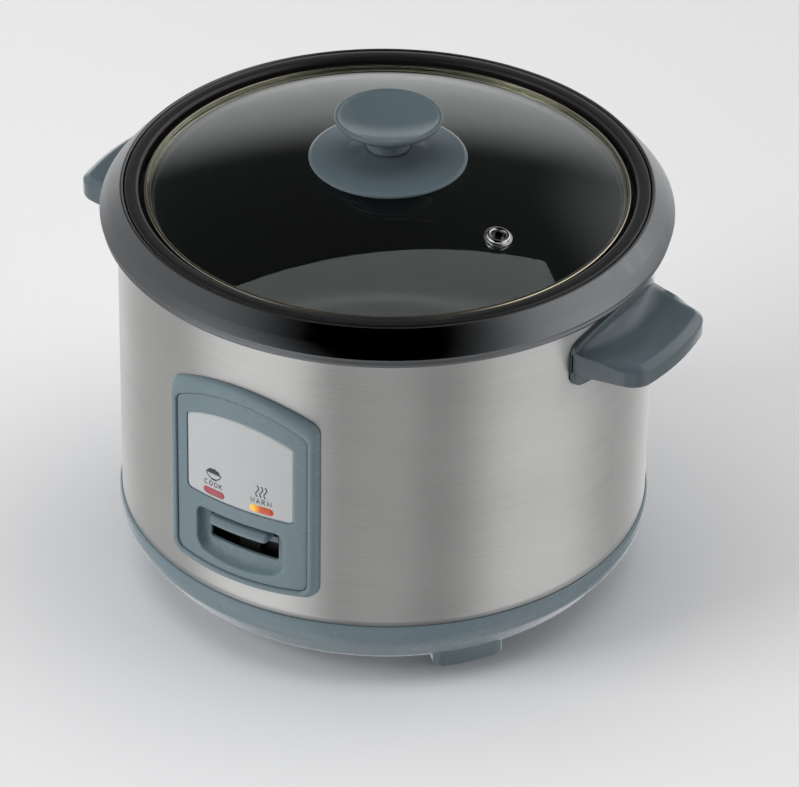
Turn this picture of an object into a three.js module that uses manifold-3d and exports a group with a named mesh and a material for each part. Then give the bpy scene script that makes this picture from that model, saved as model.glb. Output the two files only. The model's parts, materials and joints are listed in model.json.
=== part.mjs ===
// A drum rice cooker: a brushed steel body on a plastic base, a lift-out pot, a glass lid with a knob,
// two side handles and a front panel with a cook/warm lever. Millimetres, +Z up, the front faces -Y and
// the origin is on the table under the middle of the body.
import * as THREE from "three";
import { mergeVertices } from "three/addons/utils/BufferGeometryUtils.js";
import Module from "manifold-3d";

const wasm = await Module();
wasm.setup();

// ---- Driving dimensions -------------------------------------------------------------------------
const seatGap = 0.3; // left between pieces that rest on or fit against each other
const runGap = 0.5; // left around what slides or turns
const roundSides = 36; // facets of the large round pieces
const smallSides = 8; // facets of screws, pins and other small round pieces

// Radii, from the lid outwards
const lidRadius = 120;
const lidPlay = 2.3; // between the lid and the pot's bead
const beadWidth = 7.2;
const ringLand = 1.2; // flat crest of the top ring
const lidSeatWidth = 6;
const potWall = 1.5;
const linerPlay = 3; // between the pot and the liner
const linerWall = 0.8;
const linerCorner = 16;
const linerBoreRadius = 34; // opening in the liner's floor for the thermostat
const potCorner = 15;
const wiringGap = 12.9; // between the liner and the shell
const shellWall = 0.8;
const ringOverhang = 9;

// Heights, from the table upwards
const footHeight = 11;
const baseHeight = 27;
const bayHeight = 38.7; // switch bay, from the base's underside to the liner's
const spacerHeight = 7.6;
const plateThickness = 12.2;
const potDepth = 129.4; // from the pot's floor to the seat of its lid
const beadHeight = 9.4; // of the pot's bead above the lid's seat
const beadSkirt = 5.2; // of the bead below its crest
const beadStep = 1.6; // from the lid's seat up to the bead's root
const bandLift = 46; // of the warming band above the liner's underside
const bandHeight = 20;
const bandThickness = 1.5;
const ringHeight = 16.8; // of the top ring above the shell

// Lid
const domeRise = 18.8;
const glassThickness = 3;
const lidRimHeight = 4.9;
const lidRimWall = 0.7;
const lidRimLip = 1.9; // of the rim over the glass
const lidRimShelf = 4.2; // of the rim under the glass
const ventAngle = 72.7; // from the front towards the right, in degrees
const ventDistance = 81;
const ventFlangeRadius = 7;
const ventHoleRadius = 3.6;
const ventTubeWall = 0.6;
const knobDiscRadius = 39;
const knobDiscRise = 4.6;
const knobNeckRadius = 10.7;
const knobNeckHeight = 9.2;
const knobRadius = 26.6;
const knobRimHeight = 8.6;
const knobDishDepth = 5;
const knobScrewRadius = 2.3;
const knobScrewHeadRadius = 5;
const washerRadius = 11;
const washerHeight = 1.8;

// Base
const baseInset = 10.4; // the base's underside is narrower than the shell by this
const baseLip = 1.3; // the base's top edge stands out from the shell by this
const baseWall = 2.5;
const footAngle = 54; // from the front or the rear, in degrees
const footHalfAngle = 9.3;
const footDepth = 14;
const footPegRadius = 3;
const coverThickness = 1;
const coverSlots = 10;
const screwRadius = 1.9; // shank of every body screw
const screwHeadRadius = 3.5;
const screwHeadHeight = 2.2;

// Heating plate and thermostat
const plateRadius = 92;
const plateEdge = 5;
const plateBoreRadius = 17;
const spacerRadius = 5;
const spacerDistance = 80;
const elementRadius = 3.2;
const elementRingRadius = 58;
const elementTailDistance = 62; // of the heater's two tails, from the centre to the rear
const elementTailSpread = 20;
const sensorRadius = 14;
const sensorHeight = 15.7;
const sensorWall = 1;
const sensorFlange = 20;
const sensorTravel = 1.2;
const ferriteRadius = 9.5;
const ferriteHeight = 3.5;
const magnetRadius = 9;
const magnetHeight = 5;
const magnetLift = 4.4;
const rodRadius = 1.8;

// Switch mechanism
const pivotSetback = 44; // from the centre to the front
const pivotHeight = 31;
const pivotRadius = 1.5;
const armWidth = 12;
const armThickness = 3;
const uprightThickness = 2;
const uprightOffset = 3.9; // of the upright's front face from the liner, clear of the recess when tilted
const leverTab = 7; // length of the upright's tab that carries the lever
const bracketWidth = 32;
const bracketSheet = 1.5;
const buttonSetback = 30; // from the pivot to the front
const buttonRadius = 2.5;
const buttonProud = 4.6; // of the switch
const switchHalfWidth = 5;
const switchLength = 28;

// Control panel
const panelHalfWidth = 42.5;
const panelBottomGap = 13; // above the shell's lower edge
const panelSideHeight = 101.5;
const panelArch = 12;
const panelCorner = 7;
const bezelSide = 4.7;
const bezelFoot = 3.5;
const bezelProud = 4; // of the shell
const fasciaProud = 2.6;
const fasciaWall = 1.8;
const labelHalfWidth = 31;
const labelBottom = 43.5; // above the panel's bottom
const labelSideHeight = 43.5;
const labelArch = 7.5;
const labelDepth = 0.6;
const lensHalfWidth = 6.6;
const lensHeight = 4;
const lensSpacing = 27.6;
const lensRise = 4; // above the label's bottom edge
const recessHalfWidth = 24.6;
const recessBottom = 8; // above the panel's bottom
const recessHeight = 27.4;
const recessDepth = 6;
const recessWall = 1.6;
const boardHalfWidth = 24;
const boardHeight = 14;
const boardThickness = 1.6;
const slotHalfWidth = 19.7;
const slotBottom = 16; // above the panel's bottom
const slotHeight = 17.8;
const leverHalfWidth = 16.8;
const leverThickness = 4.3;
const leverProud = 1; // of the fascia
const apronHeight = 3.4; // below the lever, hiding the slot's inside
const apronOverhang = 2; // past the lever's ends
const apronThickness = 2.2;
const apronSetback = 3; // of its rear face from the upright's face

// Handles
const handleHalfWidth = 38;
const handlePlateHeight = 33;
const handlePlateArch = 8;
const handlePlateDrop = 5; // of its top edge below the shell's
const handlePlateProud = 3;
const gripReach = 34; // from the shell outwards
const gripRootHalfWidth = 37.4;
const gripTipHalfWidth = 32;
const gripCorner = 9;
const gripThickness = 11.5;
const gripDrop = 12.5; // of its top face below the plate's top edge
const gripPocketDepth = 7;
const gripHollow = 13; // length over which the grip's top rises to the plate
const gripWall = 4;
const gripRoot = 13; // solid length between the shell and the pocket
const handleScrewSpacing = 36;

// Power inlet
const inletHeight = 20; // above the shell's lower edge
const inletHalfWidth = 17;
const inletHalfHeight = 13;
const inletProud = 8;
const inletBodyDepth = 18;
const socketHalfWidth = 11.5;
const socketHalfHeight = 7.8;
const socketDepth = 15;
const inletPinLength = 9.5;
const inletPinWidth = 4;
const inletPinThickness = 2;
const inletPinSpacing = 7;
const leadRadius = 1.3;

// ---- Places that follow from them ---------------------------------------------------------------
const beadInner = lidRadius + lidPlay;
const flangeRadius = beadInner + beadWidth;
const ringMouth = flangeRadius + runGap;
const ringCrest = ringMouth + ringLand;
const potInner = lidRadius - lidSeatWidth;
const potOuter = potInner + potWall;
const linerInner = potOuter + linerPlay;
const linerOuter = linerInner + linerWall;
const shellInner = linerOuter + wiringGap;
const shellRadius = shellInner + shellWall;
const ringRadius = shellRadius + ringOverhang;
const panelRadius = shellRadius + bezelProud;
const fasciaRadius = shellRadius + fasciaProud;
const baseTopRadius = shellRadius + baseLip;
const baseFootRadius = shellRadius - baseInset;

const baseBottom = footHeight + seatGap;
const baseTop = baseBottom + baseHeight;
const shellBottom = baseTop + seatGap;
const linerBottom = baseBottom + bayHeight;
const linerFloor = linerBottom + linerWall;
const plateBottom = linerFloor + 2 * seatGap + spacerHeight;
const plateTop = plateBottom + plateThickness;
const potBottom = plateTop + seatGap;
const potFloor = potBottom + potWall;
const lidSeat = potFloor + potDepth;
const beadTop = lidSeat + beadHeight;
const ringTop = beadTop - seatGap;
const shellTop = ringTop - ringHeight;
const linerFlange = shellTop + seatGap;

const lidBottom = lidSeat + beadStep + seatGap;
const glassEdge = lidRadius - lidRimWall - seatGap;
const glassTopEdge = lidBottom + lidRimHeight - lidRimWall - seatGap;
const glassTop = glassTopEdge + domeRise;
const coverBottom = baseBottom + baseWall + seatGap;
const bracketTop = linerBottom - seatGap;
const panelBottom = shellBottom + panelBottomGap;

// ---- Shape helpers ------------------------------------------------------------------------------
const radians = THREE.MathUtils.degToRad;
const point = (x, y) => new THREE.Vector2(x, y);

// Points of an arc about (x, y), from one angle to another in degrees.
function arc(x, y, radius, from, to, steps = 4) {
  return Array.from({ length: steps + 1 }, (_, i) => {
    const angle = radians(from + ((to - from) * i) / steps);
    return point(x + radius * Math.cos(angle), y + radius * Math.sin(angle));
  });
}

// A round solid about Z, from its half section as points of (radius, height) in either direction.
function revolve(section, sides = roundSides) {
  const area = section.reduce((sum, p, i) => sum + p.cross(section[(i + 1) % section.length]), 0);
  const points = area > 0 ? [...section] : [...section].reverse();
  const onAxis = points.some((p) => p.x === 0);
  if (!onAxis) {
    points.push(points[0]);
  }
  while (onAxis && !(points[0].x === 0 && points.at(-1).x === 0)) {
    points.push(points.shift());
  }
  return new THREE.LatheGeometry(points, sides).rotateX(Math.PI / 2);
}

// A cylinder along Z between two heights.
function rod(radius, bottom, top, sides = smallSides) {
  return new THREE.CylinderGeometry(radius, radius, top - bottom, sides)
    .rotateX(Math.PI / 2)
    .translate(0, 0, (top + bottom) / 2);
}

// A box by its lowest and highest corner.
function block(low, high) {
  const [x, y, z] = low.map((v, i) => high[i] - v);
  const centre = low.map((v, i) => (v + high[i]) / 2);
  return new THREE.BoxGeometry(x, y, z).translate(...centre);
}

// An outline in X and Y, extruded up from one height to another.
function slab(shape, bottom, top, curveSegments = 6) {
  const settings = { depth: top - bottom, bevelEnabled: false, curveSegments };
  return new THREE.ExtrudeGeometry(shape, settings).translate(0, 0, bottom);
}

// An outline in X and Z, extruded from the axis forwards past the shell.
function frontPrism(shape, curveSegments = 6) {
  const settings = { depth: 2 * shellRadius, bevelEnabled: false, curveSegments };
  return new THREE.ExtrudeGeometry(shape, settings).rotateX(Math.PI / 2);
}

// A curved wall about Z that faces the front, wide enough for the panel or a handle.
function frontWall(inner, outer) {
  const half = Math.asin(Math.min(0.9, (panelHalfWidth + handleHalfWidth) / 2 / shellRadius)) + radians(8);
  const shape = new THREE.Shape()
    .absarc(0, 0, outer, -Math.PI / 2 - half, -Math.PI / 2 + half, false)
    .absarc(0, 0, inner, -Math.PI / 2 + half, -Math.PI / 2 - half, true);
  return slab(shape, 0, 2 * shellTop, 10);
}

// A rectangle with round corners, by its half width, bottom and top.
function roundedBox(halfWidth, bottom, top, corner) {
  const r = Math.min(corner, halfWidth, (top - bottom) / 2) * 0.999;
  return new THREE.Shape()
    .moveTo(-halfWidth + r, bottom)
    .absarc(halfWidth - r, bottom + r, r, -Math.PI / 2, 0, false)
    .absarc(halfWidth - r, top - r, r, 0, Math.PI / 2, false)
    .absarc(-halfWidth + r, top - r, r, Math.PI / 2, Math.PI, false)
    .absarc(-halfWidth + r, bottom + r, r, Math.PI, 1.5 * Math.PI, false);
}

// The same with its top edge bowed up by an arch; sideTop is the height of the arch's ends.
function archedBox(halfWidth, bottom, sideTop, arch, corner) {
  const radius = (halfWidth ** 2 + arch ** 2) / (2 * arch);
  const centre = sideTop + arch - radius;
  const shoulder = Math.acos((halfWidth - corner) / radius);
  return new THREE.Shape()
    .moveTo(-halfWidth + corner, bottom)
    .absarc(halfWidth - corner, bottom + corner, corner, -Math.PI / 2, 0, false)
    .lineTo(halfWidth, sideTop - corner)
    .quadraticCurveTo(halfWidth, sideTop, halfWidth - corner, centre + radius * Math.sin(shoulder))
    .absarc(0, centre, radius, shoulder, Math.PI - shoulder, false)
    .quadraticCurveTo(-halfWidth, sideTop, -halfWidth, sideTop - corner)
    .absarc(-halfWidth + corner, bottom + corner, corner, Math.PI, 1.5 * Math.PI, false);
}

// A strip of one width along X, from an outline in Y and Z.
function sideStrip(outline, width) {
  const settings = { depth: width, bevelEnabled: false };
  const shape = new THREE.Shape(outline);
  // The shape's own X and Y become Y and Z, and its depth becomes X.
  return new THREE.ExtrudeGeometry(shape, settings)
    .rotateX(Math.PI / 2)
    .rotateZ(Math.PI / 2)
    .translate(-width / 2, 0, 0);
}

// A round bar along a curve.
function bar(curve, radius, steps, sides = 8) {
  const section = new THREE.Shape(arc(0, 0, radius, 0, 360 - 360 / sides, sides - 1));
  return new THREE.ExtrudeGeometry(section, { steps, extrudePath: curve, bevelEnabled: false });
}

// A coil spring standing on Z, which may narrow towards its top.
function spring(bottomRadius, topRadius, wire, bottom, top, turns) {
  const stepsPerTurn = 8;
  const points = Array.from({ length: turns * stepsPerTurn + 1 }, (_, i) => {
    const share = i / (turns * stepsPerTurn);
    const radius = THREE.MathUtils.lerp(bottomRadius, topRadius, share);
    const angle = share * turns * 2 * Math.PI;
    const height = THREE.MathUtils.lerp(bottom + wire, top - wire, share);
    return new THREE.Vector3(radius * Math.cos(angle), radius * Math.sin(angle), height);
  });
  return bar(new THREE.CatmullRomCurve3(points), wire, turns * stepsPerTurn, 4);
}

// ---- Booleans -----------------------------------------------------------------------------------
function solidOf(geometry) {
  const bare = geometry.clone();
  bare.deleteAttribute("normal");
  bare.deleteAttribute("uv");
  const merged = mergeVertices(bare, 1e-3);
  const vertProperties = merged.attributes.position.array;
  const triVerts = new Uint32Array(merged.index.array);
  return new wasm.Manifold(new wasm.Mesh({ numProp: 3, vertProperties, triVerts }));
}

function geometryOf(solid) {
  const { vertProperties, triVerts } = solid.getMesh();
  return new THREE.BufferGeometry()
    .setAttribute("position", new THREE.BufferAttribute(vertProperties, 3))
    .setIndex(new THREE.BufferAttribute(triVerts, 1));
}

const cut = (body, ...tools) => geometryOf(tools.reduce((s, t) => s.subtract(solidOf(t)), solidOf(body)));
const join = (body, ...more) => geometryOf(more.reduce((s, t) => s.add(solidOf(t)), solidOf(body)));
const common = (a, b) => geometryOf(solidOf(a).intersect(solidOf(b)));

// ---- Materials ----------------------------------------------------------------------------------
const finish = (color, roughness, metalness = 0) =>
  new THREE.MeshStandardMaterial({ color, roughness, metalness });
const brushedSteel = finish(0xb9bab8, 0.32, 1);
const brightSteel = finish(0xd8d8d6, 0.18, 1);
const sheetSteel = finish(0x9da1a3, 0.45, 1);
const aluminium = finish(0xc4c6c8, 0.4, 1);
const greyPlastic = finish(0x6c7c86, 0.34);
const ringCoat = finish(0x2b2d31, 0.55);
const potCoat = finish(0x3b3d3f, 0.42, 0.3);
const rimGlass = new THREE.MeshStandardMaterial({ color: 0xdfe9e4, roughness: 0.03, transparent: true, opacity: 0.3 });
const labelPrint = finish(0xd5d7da, 0.4);
const redLens = finish(0xa83a44, 0.25);
const amberLens = finish(0xf07a1c, 0.25);
const blackPlastic = finish(0x1b1b1c, 0.5);
const rubber = finish(0x2a2a2a, 0.8);
const brass = finish(0xc9a24f, 0.3, 1);
const ceramic = finish(0xe8e4da, 0.6);
const board = finish(0x9a7b3f, 0.6);
const magnetIron = finish(0x4a4a4e, 0.5, 0.6);

const cooker = new THREE.Group();

// Adds a piece to the cooker, or to one of its groups.
function add(name, geometry, material, parent = cooker) {
  const mesh = new THREE.Mesh(geometry, material);
  mesh.name = name;
  parent.add(mesh);
  return mesh;
}

// ---- Screws -------------------------------------------------------------------------------------
// A pan-head screw along Z: its head under `face`, its shank above. Its thread is left plain.
function screw(face, length, radius = screwRadius, headRadius = screwHeadRadius) {
  const headBottom = face - screwHeadHeight;
  return revolve(
    [
      point(0, headBottom),
      point(headRadius * 0.7, headBottom),
      point(headRadius, headBottom + screwHeadHeight * 0.45),
      point(headRadius, face),
      point(radius, face),
      point(radius, face + length - radius),
      point(0, face + length),
    ],
    smallSides,
  );
}

// ---- Base ---------------------------------------------------------------------------------------
const footRadius = baseFootRadius - 4.5;
const flangeMiddle = footRadius - footDepth / 2; // distance of the pegs and the cover's screws
const footPlaces = [
  ["foot_front_right", footAngle],
  ["foot_rear_right", 180 - footAngle],
  ["foot_rear_left", 180 + footAngle],
  ["foot_front_left", -footAngle],
];
const coverScrewAngles = [30, 150, 270];
const coverRadius = baseFootRadius - baseWall - 2;
const skirtTop = baseTop - 4;

function baseRing() {
  const inner = footRadius - footDepth - 1; // bore of the floor flange
  const upstand = shellInner - runGap; // rim that the shell slips over
  const section = [
    point(inner, baseBottom),
    point(baseFootRadius - 2, baseBottom),
    point(baseFootRadius, baseBottom + 2),
    point(baseTopRadius - 1.6, skirtTop - 6),
    point(baseTopRadius, skirtTop),
    point(baseTopRadius, baseTop - 0.8),
    point(baseTopRadius - 0.6, baseTop),
    point(upstand, baseTop),
    point(upstand, baseTop + 5),
    point(upstand - baseWall, baseTop + 5),
    point(upstand - baseWall, skirtTop - 4),
    point(baseFootRadius - baseWall, baseBottom + baseWall),
    point(inner, baseBottom + baseWall),
  ];
  const pegHoles = footPlaces.map(([, angle]) =>
    rod(footPegRadius + runGap, 0, coverBottom - 0.1, 8)
      .translate(0, -flangeMiddle, 0)
      .rotateZ(radians(angle)),
  );
  const screwHoles = coverScrewAngles.map((angle) =>
    rod(screwRadius + runGap, 0, coverBottom - 0.1, 8)
      .translate(0, -flangeMiddle, 0)
      .rotateZ(radians(angle)),
  );
  return cut(revolve(section), ...pegHoles, ...screwHoles);
}

// A curved foot under the base's rim, with a peg through the base's flange.
function foot() {
  const r1 = footRadius;
  const r0 = footRadius - footDepth;
  const half = radians(footHalfAngle);
  const corner = Math.min(footDepth * 0.35, 5);
  const turn = (r, a) => [r * Math.sin(a), -r * Math.cos(a)];
  const slip = corner / footRadius;
  const shape = new THREE.Shape()
    .moveTo(...turn(r1, -half + slip))
    .absarc(0, 0, r1, -Math.PI / 2 - half + slip, -Math.PI / 2 + half - slip, false)
    .quadraticCurveTo(...turn(r1, half), ...turn(r1 - corner, half))
    .lineTo(...turn(r0 + corner, half))
    .quadraticCurveTo(...turn(r0, half), ...turn(r0, half - slip))
    .absarc(0, 0, r0, -Math.PI / 2 + half - slip, -Math.PI / 2 - half + slip, true)
    .quadraticCurveTo(...turn(r0, -half), ...turn(r0 + corner, -half))
    .lineTo(...turn(r1 - corner, -half))
    .quadraticCurveTo(...turn(r1, -half), ...turn(r1, -half + slip));
  const peg = rod(footPegRadius, footHeight - 1, coverBottom - seatGap, 8).translate(0, -flangeMiddle, 0);
  return join(slab(shape, 0, footHeight, 4), peg);
}

// The steel plate that closes the base, with a ring of vent slots.
function bottomCover() {
  const slots = Array.from({ length: coverSlots }, (_, i) =>
    block([-2, -coverRadius * 0.75, 0], [2, -coverRadius * 0.45, baseTop]).rotateZ(
      ((i + 0.5) * 2 * Math.PI) / coverSlots,
    ),
  );
  const screwHoles = coverScrewAngles.map((angle) =>
    rod(screwRadius + seatGap, 0, baseTop, 8)
      .translate(0, -flangeMiddle, 0)
      .rotateZ(radians(angle)),
  );
  return cut(rod(coverRadius, coverBottom, coverBottom + coverThickness, roundSides), ...slots, ...screwHoles);
}

add("base_ring", baseRing(), greyPlastic);
add("bottom_cover", bottomCover(), sheetSteel);
footPlaces.forEach(([name, angle]) => {
  add(name, foot(), greyPlastic).rotation.z = radians(angle);
});
coverScrewAngles.forEach((angle, i) => {
  const length = coverBottom - baseBottom + coverThickness + 4;
  const piece = screw(baseBottom - seatGap, length).translate(0, -flangeMiddle, 0);
  add(`cover_screw_${i + 1}`, piece, sheetSteel).rotation.z = radians(angle);
});

// ---- Control panel outlines, shared by the shell's opening and the panel's pieces ----------------
const fasciaHalfWidth = panelHalfWidth - bezelSide;
const panelOutline = () =>
  archedBox(panelHalfWidth, panelBottom, panelBottom + panelSideHeight, panelArch, panelCorner);
const fasciaOutline = (play) =>
  archedBox(
    fasciaHalfWidth - play,
    panelBottom + bezelFoot + play,
    panelBottom + panelSideHeight - 7.5 - play,
    panelArch - 0.4,
    panelCorner - 2.5,
  );
const labelOutline = (play) =>
  archedBox(
    labelHalfWidth - play,
    panelBottom + labelBottom + play,
    panelBottom + labelBottom + labelSideHeight - play,
    labelArch,
    2.5,
  );
const recessOutline = () =>
  roundedBox(recessHalfWidth, panelBottom + recessBottom, panelBottom + recessBottom + recessHeight, 8);
const slotOutline = () =>
  roundedBox(slotHalfWidth, panelBottom + slotBottom, panelBottom + slotBottom + slotHeight, 1.5);
const lensCentre = panelBottom + labelBottom + lensRise;
const lensOutline = (play) =>
  roundedBox(lensHalfWidth + play, lensCentre - lensHeight / 2 - play, lensCentre + lensHeight / 2 + play, lensHeight);
const lensPlaces = [
  ["cook", -lensSpacing / 2, redLens],
  ["warm", lensSpacing / 2, amberLens],
];

// ---- Handle screws, shared by the shell and the handles -----------------------------------------
const handlePlateTop = shellTop - handlePlateDrop;
const gripTop = handlePlateTop - gripDrop;
const handleScrewHeight = gripTop - gripThickness / 2;
const handleScrewFace = Math.sqrt(shellInner ** 2 - (handleScrewSpacing / 2 + screwHeadRadius) ** 2) - 0.9;
// A rod or screw made along Z from the axis, laid forwards at a handle's screw height.
const layForwards = (geometry, x, z) => geometry.rotateX(Math.PI / 2).translate(x, 0, z);
const handleScrewOffsets = [-handleScrewSpacing / 2, handleScrewSpacing / 2];
const handleSides = [
  ["handle_right", 90],
  ["handle_left", -90],
];

// ---- Inlet outline, at the rear -----------------------------------------------------------------
const inletCentre = shellBottom + inletHeight;
const inletFace = shellRadius + inletProud;
const inletOutline = (play) =>
  roundedBox(
    inletHalfWidth - 3 + play,
    inletCentre - inletHalfHeight + 3 - play,
    inletCentre + inletHalfHeight - 3 + play,
    2,
  );

// ---- Body ---------------------------------------------------------------------------------------
function outerShell() {
  const tube = revolve([
    point(shellInner, shellBottom),
    point(shellRadius, shellBottom),
    point(shellRadius, shellTop),
    point(shellInner, shellTop),
  ]);
  const panelWindow = frontPrism(
    roundedBox(
      fasciaHalfWidth - 5,
      panelBottom + recessBottom - recessWall - runGap,
      panelBottom + panelSideHeight - 14,
      3,
    ),
    2,
  );
  const screwHoles = handleSides.flatMap(([, angle]) =>
    handleScrewOffsets.map((x) =>
      layForwards(rod(screwRadius + runGap, shellInner - 20, ringRadius, 8), x, handleScrewHeight).rotateZ(
        radians(angle),
      ),
    ),
  );
  const inletWindow = frontPrism(inletOutline(runGap), 2).rotateZ(Math.PI);
  return cut(tube, panelWindow, inletWindow, ...screwHoles);
}

// The coned top ring, which overhangs the shell and carries the pot's bead on an inner ledge.
function topRing() {
  const ledge = beadTop - beadSkirt - seatGap;
  const bore = beadInner + potWall + runGap;
  return revolve([
    point(bore, linerFlange + linerWall + seatGap),
    point(shellRadius + 0.6, linerFlange + linerWall + seatGap),
    point(shellRadius + 0.6, shellTop - 0.6),
    point(ringRadius - 3.4, shellTop - 0.6),
    point(ringRadius - 1, shellTop + 1),
    point(ringRadius - 1.6, shellTop + 3.2),
    point(ringRadius, shellTop + 4.6),
    point(ringCrest + 0.8, ringTop - 0.4),
    point(ringCrest - 0.2, ringTop),
    point(ringMouth, ringTop - 0.5),
    point(ringMouth, ledge),
    point(bore, ledge),
  ]);
}

// The pressed steel chamber that the pot hangs in, with holes in its floor for what passes through.
function innerLiner() {
  const innerCorner = linerCorner - linerWall;
  const outer = [
    point(linerBoreRadius, linerBottom),
    ...arc(linerOuter - linerCorner, linerBottom + linerCorner, linerCorner, -90, 0, 3),
    point(linerOuter, linerFlange),
    point(shellRadius, linerFlange),
  ];
  const inner = [
    point(shellRadius, linerFlange + linerWall),
    point(linerInner, linerFlange + linerWall),
    ...arc(linerInner - innerCorner, linerFloor + innerCorner, innerCorner, 0, -90, 3),
    point(linerBoreRadius, linerFloor),
  ];
  const holes = spacerAngles.map((angle) =>
    rod(screwRadius + runGap, linerBottom - 5, linerFloor + 2, 8)
      .translate(0, -spacerDistance, 0)
      .rotateZ(radians(angle)),
  );
  const tailHoles = elementTails.map((x) =>
    rod(elementRadius + 4.5, linerBottom - 5, linerFloor + 2, 8).translate(x, elementTailDistance, 0),
  );
  return cut(revolve([...outer, ...inner]), ...holes, ...tailHoles);
}

const spacerAngles = [60, 180, 300];
const elementTails = [-elementTailSpread / 2, elementTailSpread / 2];
add("outer_shell", outerShell(), brushedSteel);
add("top_ring", topRing(), ringCoat);
add("inner_liner", innerLiner(), sheetSteel);

// The warming band wraps the liner above the lever.
const bandBottom = linerBottom + bandLift;
const bandInner = linerOuter + seatGap;
add(
  "keep_warm_band",
  revolve([
    point(bandInner, bandBottom),
    point(bandInner + bandThickness, bandBottom),
    point(bandInner + bandThickness, bandBottom + bandHeight),
    point(bandInner, bandBottom + bandHeight),
  ]),
  ceramic,
);

// ---- Heating plate ------------------------------------------------------------------------------
const elementHeight = plateBottom - seatGap - elementRadius - 0.2;

function heatingPlate() {
  const disc = revolve([
    point(plateBoreRadius, plateBottom),
    point(plateRadius - plateEdge, plateBottom),
    ...arc(plateRadius - plateEdge, plateTop - plateEdge, plateEdge, -40, 90, 3),
    point(plateBoreRadius + 1, plateTop),
    point(plateBoreRadius, plateTop - 1),
  ]);
  const holes = spacerAngles.map((angle) =>
    rod(screwRadius + seatGap, plateBottom - 2, plateBottom + 6, 8)
      .translate(0, -spacerDistance, 0)
      .rotateZ(radians(angle)),
  );
  return cut(disc, ...holes);
}

// The tubular heater: an open ring under the plate whose two tails turn back and go down at the rear.
function heatingElement() {
  const half = elementTailSpread / 2;
  const gap = Math.asin((half + 8) / elementRingRadius);
  const ring = Array.from({ length: 21 }, (_, i) => {
    const angle = Math.PI / 2 + gap + ((2 * Math.PI - 2 * gap) * i) / 20;
    return new THREE.Vector3(
      elementRingRadius * Math.cos(angle),
      elementRingRadius * Math.sin(angle),
      elementHeight,
    );
  });
  const tail = (x) => [
    new THREE.Vector3(x, elementTailDistance, elementHeight - 5),
    new THREE.Vector3(x, elementTailDistance, linerBottom - 8),
  ];
  return bar(new THREE.CatmullRomCurve3([...tail(-half).reverse(), ...ring, ...tail(half)]), elementRadius, 36, 6);
}

add("heating_plate", heatingPlate(), aluminium);
add("heating_element", heatingElement(), sheetSteel);
spacerAngles.forEach((angle, i) => {
  const bottom = linerFloor + seatGap;
  const spacer = revolve(
    [
      point(screwRadius + seatGap, bottom),
      point(spacerRadius, bottom),
      point(spacerRadius, bottom + spacerHeight),
      point(screwRadius + seatGap, bottom + spacerHeight),
    ],
    smallSides,
  ).translate(0, -spacerDistance, 0);
  add(`plate_spacer_${i + 1}`, spacer, ceramic).rotation.z = radians(angle);
  const fixing = screw(linerBottom - seatGap, plateBottom + 5 - linerBottom).translate(0, -spacerDistance, 0);
  add(`plate_screw_${i + 1}`, fixing, sheetSteel).rotation.z = radians(angle);
});

// ---- Thermostat ---------------------------------------------------------------------------------
const sensorTop = plateTop;
const sensorBottom = sensorTop - sensorHeight;
const ferriteBottom = sensorTop - sensorWall - seatGap - ferriteHeight;
const magnetTop = ferriteBottom - magnetLift - sensorTravel - 0.4;
const magnetBottom = magnetTop - magnetHeight;
const armTop = pivotHeight + armThickness / 2;

add(
  "thermostat_cap",
  revolve(
    [
      point(0, sensorTop),
      point(sensorRadius - 1, sensorTop),
      point(sensorRadius, sensorTop - 1),
      point(sensorRadius, sensorBottom + sensorWall),
      point(sensorFlange, sensorBottom + sensorWall),
      point(sensorFlange, sensorBottom),
      point(sensorRadius - sensorWall, sensorBottom),
      point(sensorRadius - sensorWall, sensorTop - sensorWall),
      point(0, sensorTop - sensorWall),
    ],
    24,
  ),
  aluminium,
);
add("thermostat_ferrite", rod(ferriteRadius, ferriteBottom, ferriteBottom + ferriteHeight, 20), magnetIron);
add(
  "thermostat_magnet",
  join(
    rod(magnetRadius, magnetBottom, magnetTop, 20),
    rod(rodRadius, armTop + seatGap + 1.2, magnetBottom + 1, 12),
    new THREE.CylinderGeometry(rodRadius, 0.7, 1.5, 12)
      .rotateX(Math.PI / 2)
      .translate(0, 0, armTop + seatGap + 0.75),
  ),
  magnetIron,
);
add("magnet_spring", spring(7, 4, 0.5, magnetTop + seatGap, ferriteBottom - seatGap, 3), brightSteel);
add(
  "sensor_spring",
  spring(17.5, 17.5, 0.7, bracketTop + seatGap, sensorBottom - seatGap, 3),
  brightSteel,
);

// ---- Switch mechanism ---------------------------------------------------------------------------
// The bracket hangs under the liner: a plate with the thermostat's opening, and two cheeks for the pivot.
function mechanismBracket() {
  const half = bracketWidth / 2;
  const front = -pivotSetback - 22;
  const plate = block([-half - 8, front, bracketTop - bracketSheet], [half + 8, 44, bracketTop]);
  const cheeks = [-1, 1].map((side) => {
    const inner = side * (half - bracketSheet);
    const outer = side * half;
    return block(
      [Math.min(inner, outer), -pivotSetback - 9, pivotHeight - 6],
      [Math.max(inner, outer), -pivotSetback + 9, bracketTop - bracketSheet / 2],
    );
  });
  const rodHole = rod(rodRadius + 2, 0, shellTop);
  const pivotHole = rod(pivotRadius + seatGap, -half - 1, half + 1, 16)
    .rotateY(Math.PI / 2)
    .translate(0, -pivotSetback, pivotHeight);
  return cut(join(plate, ...cheeks), rodHole, pivotHole);
}

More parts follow.
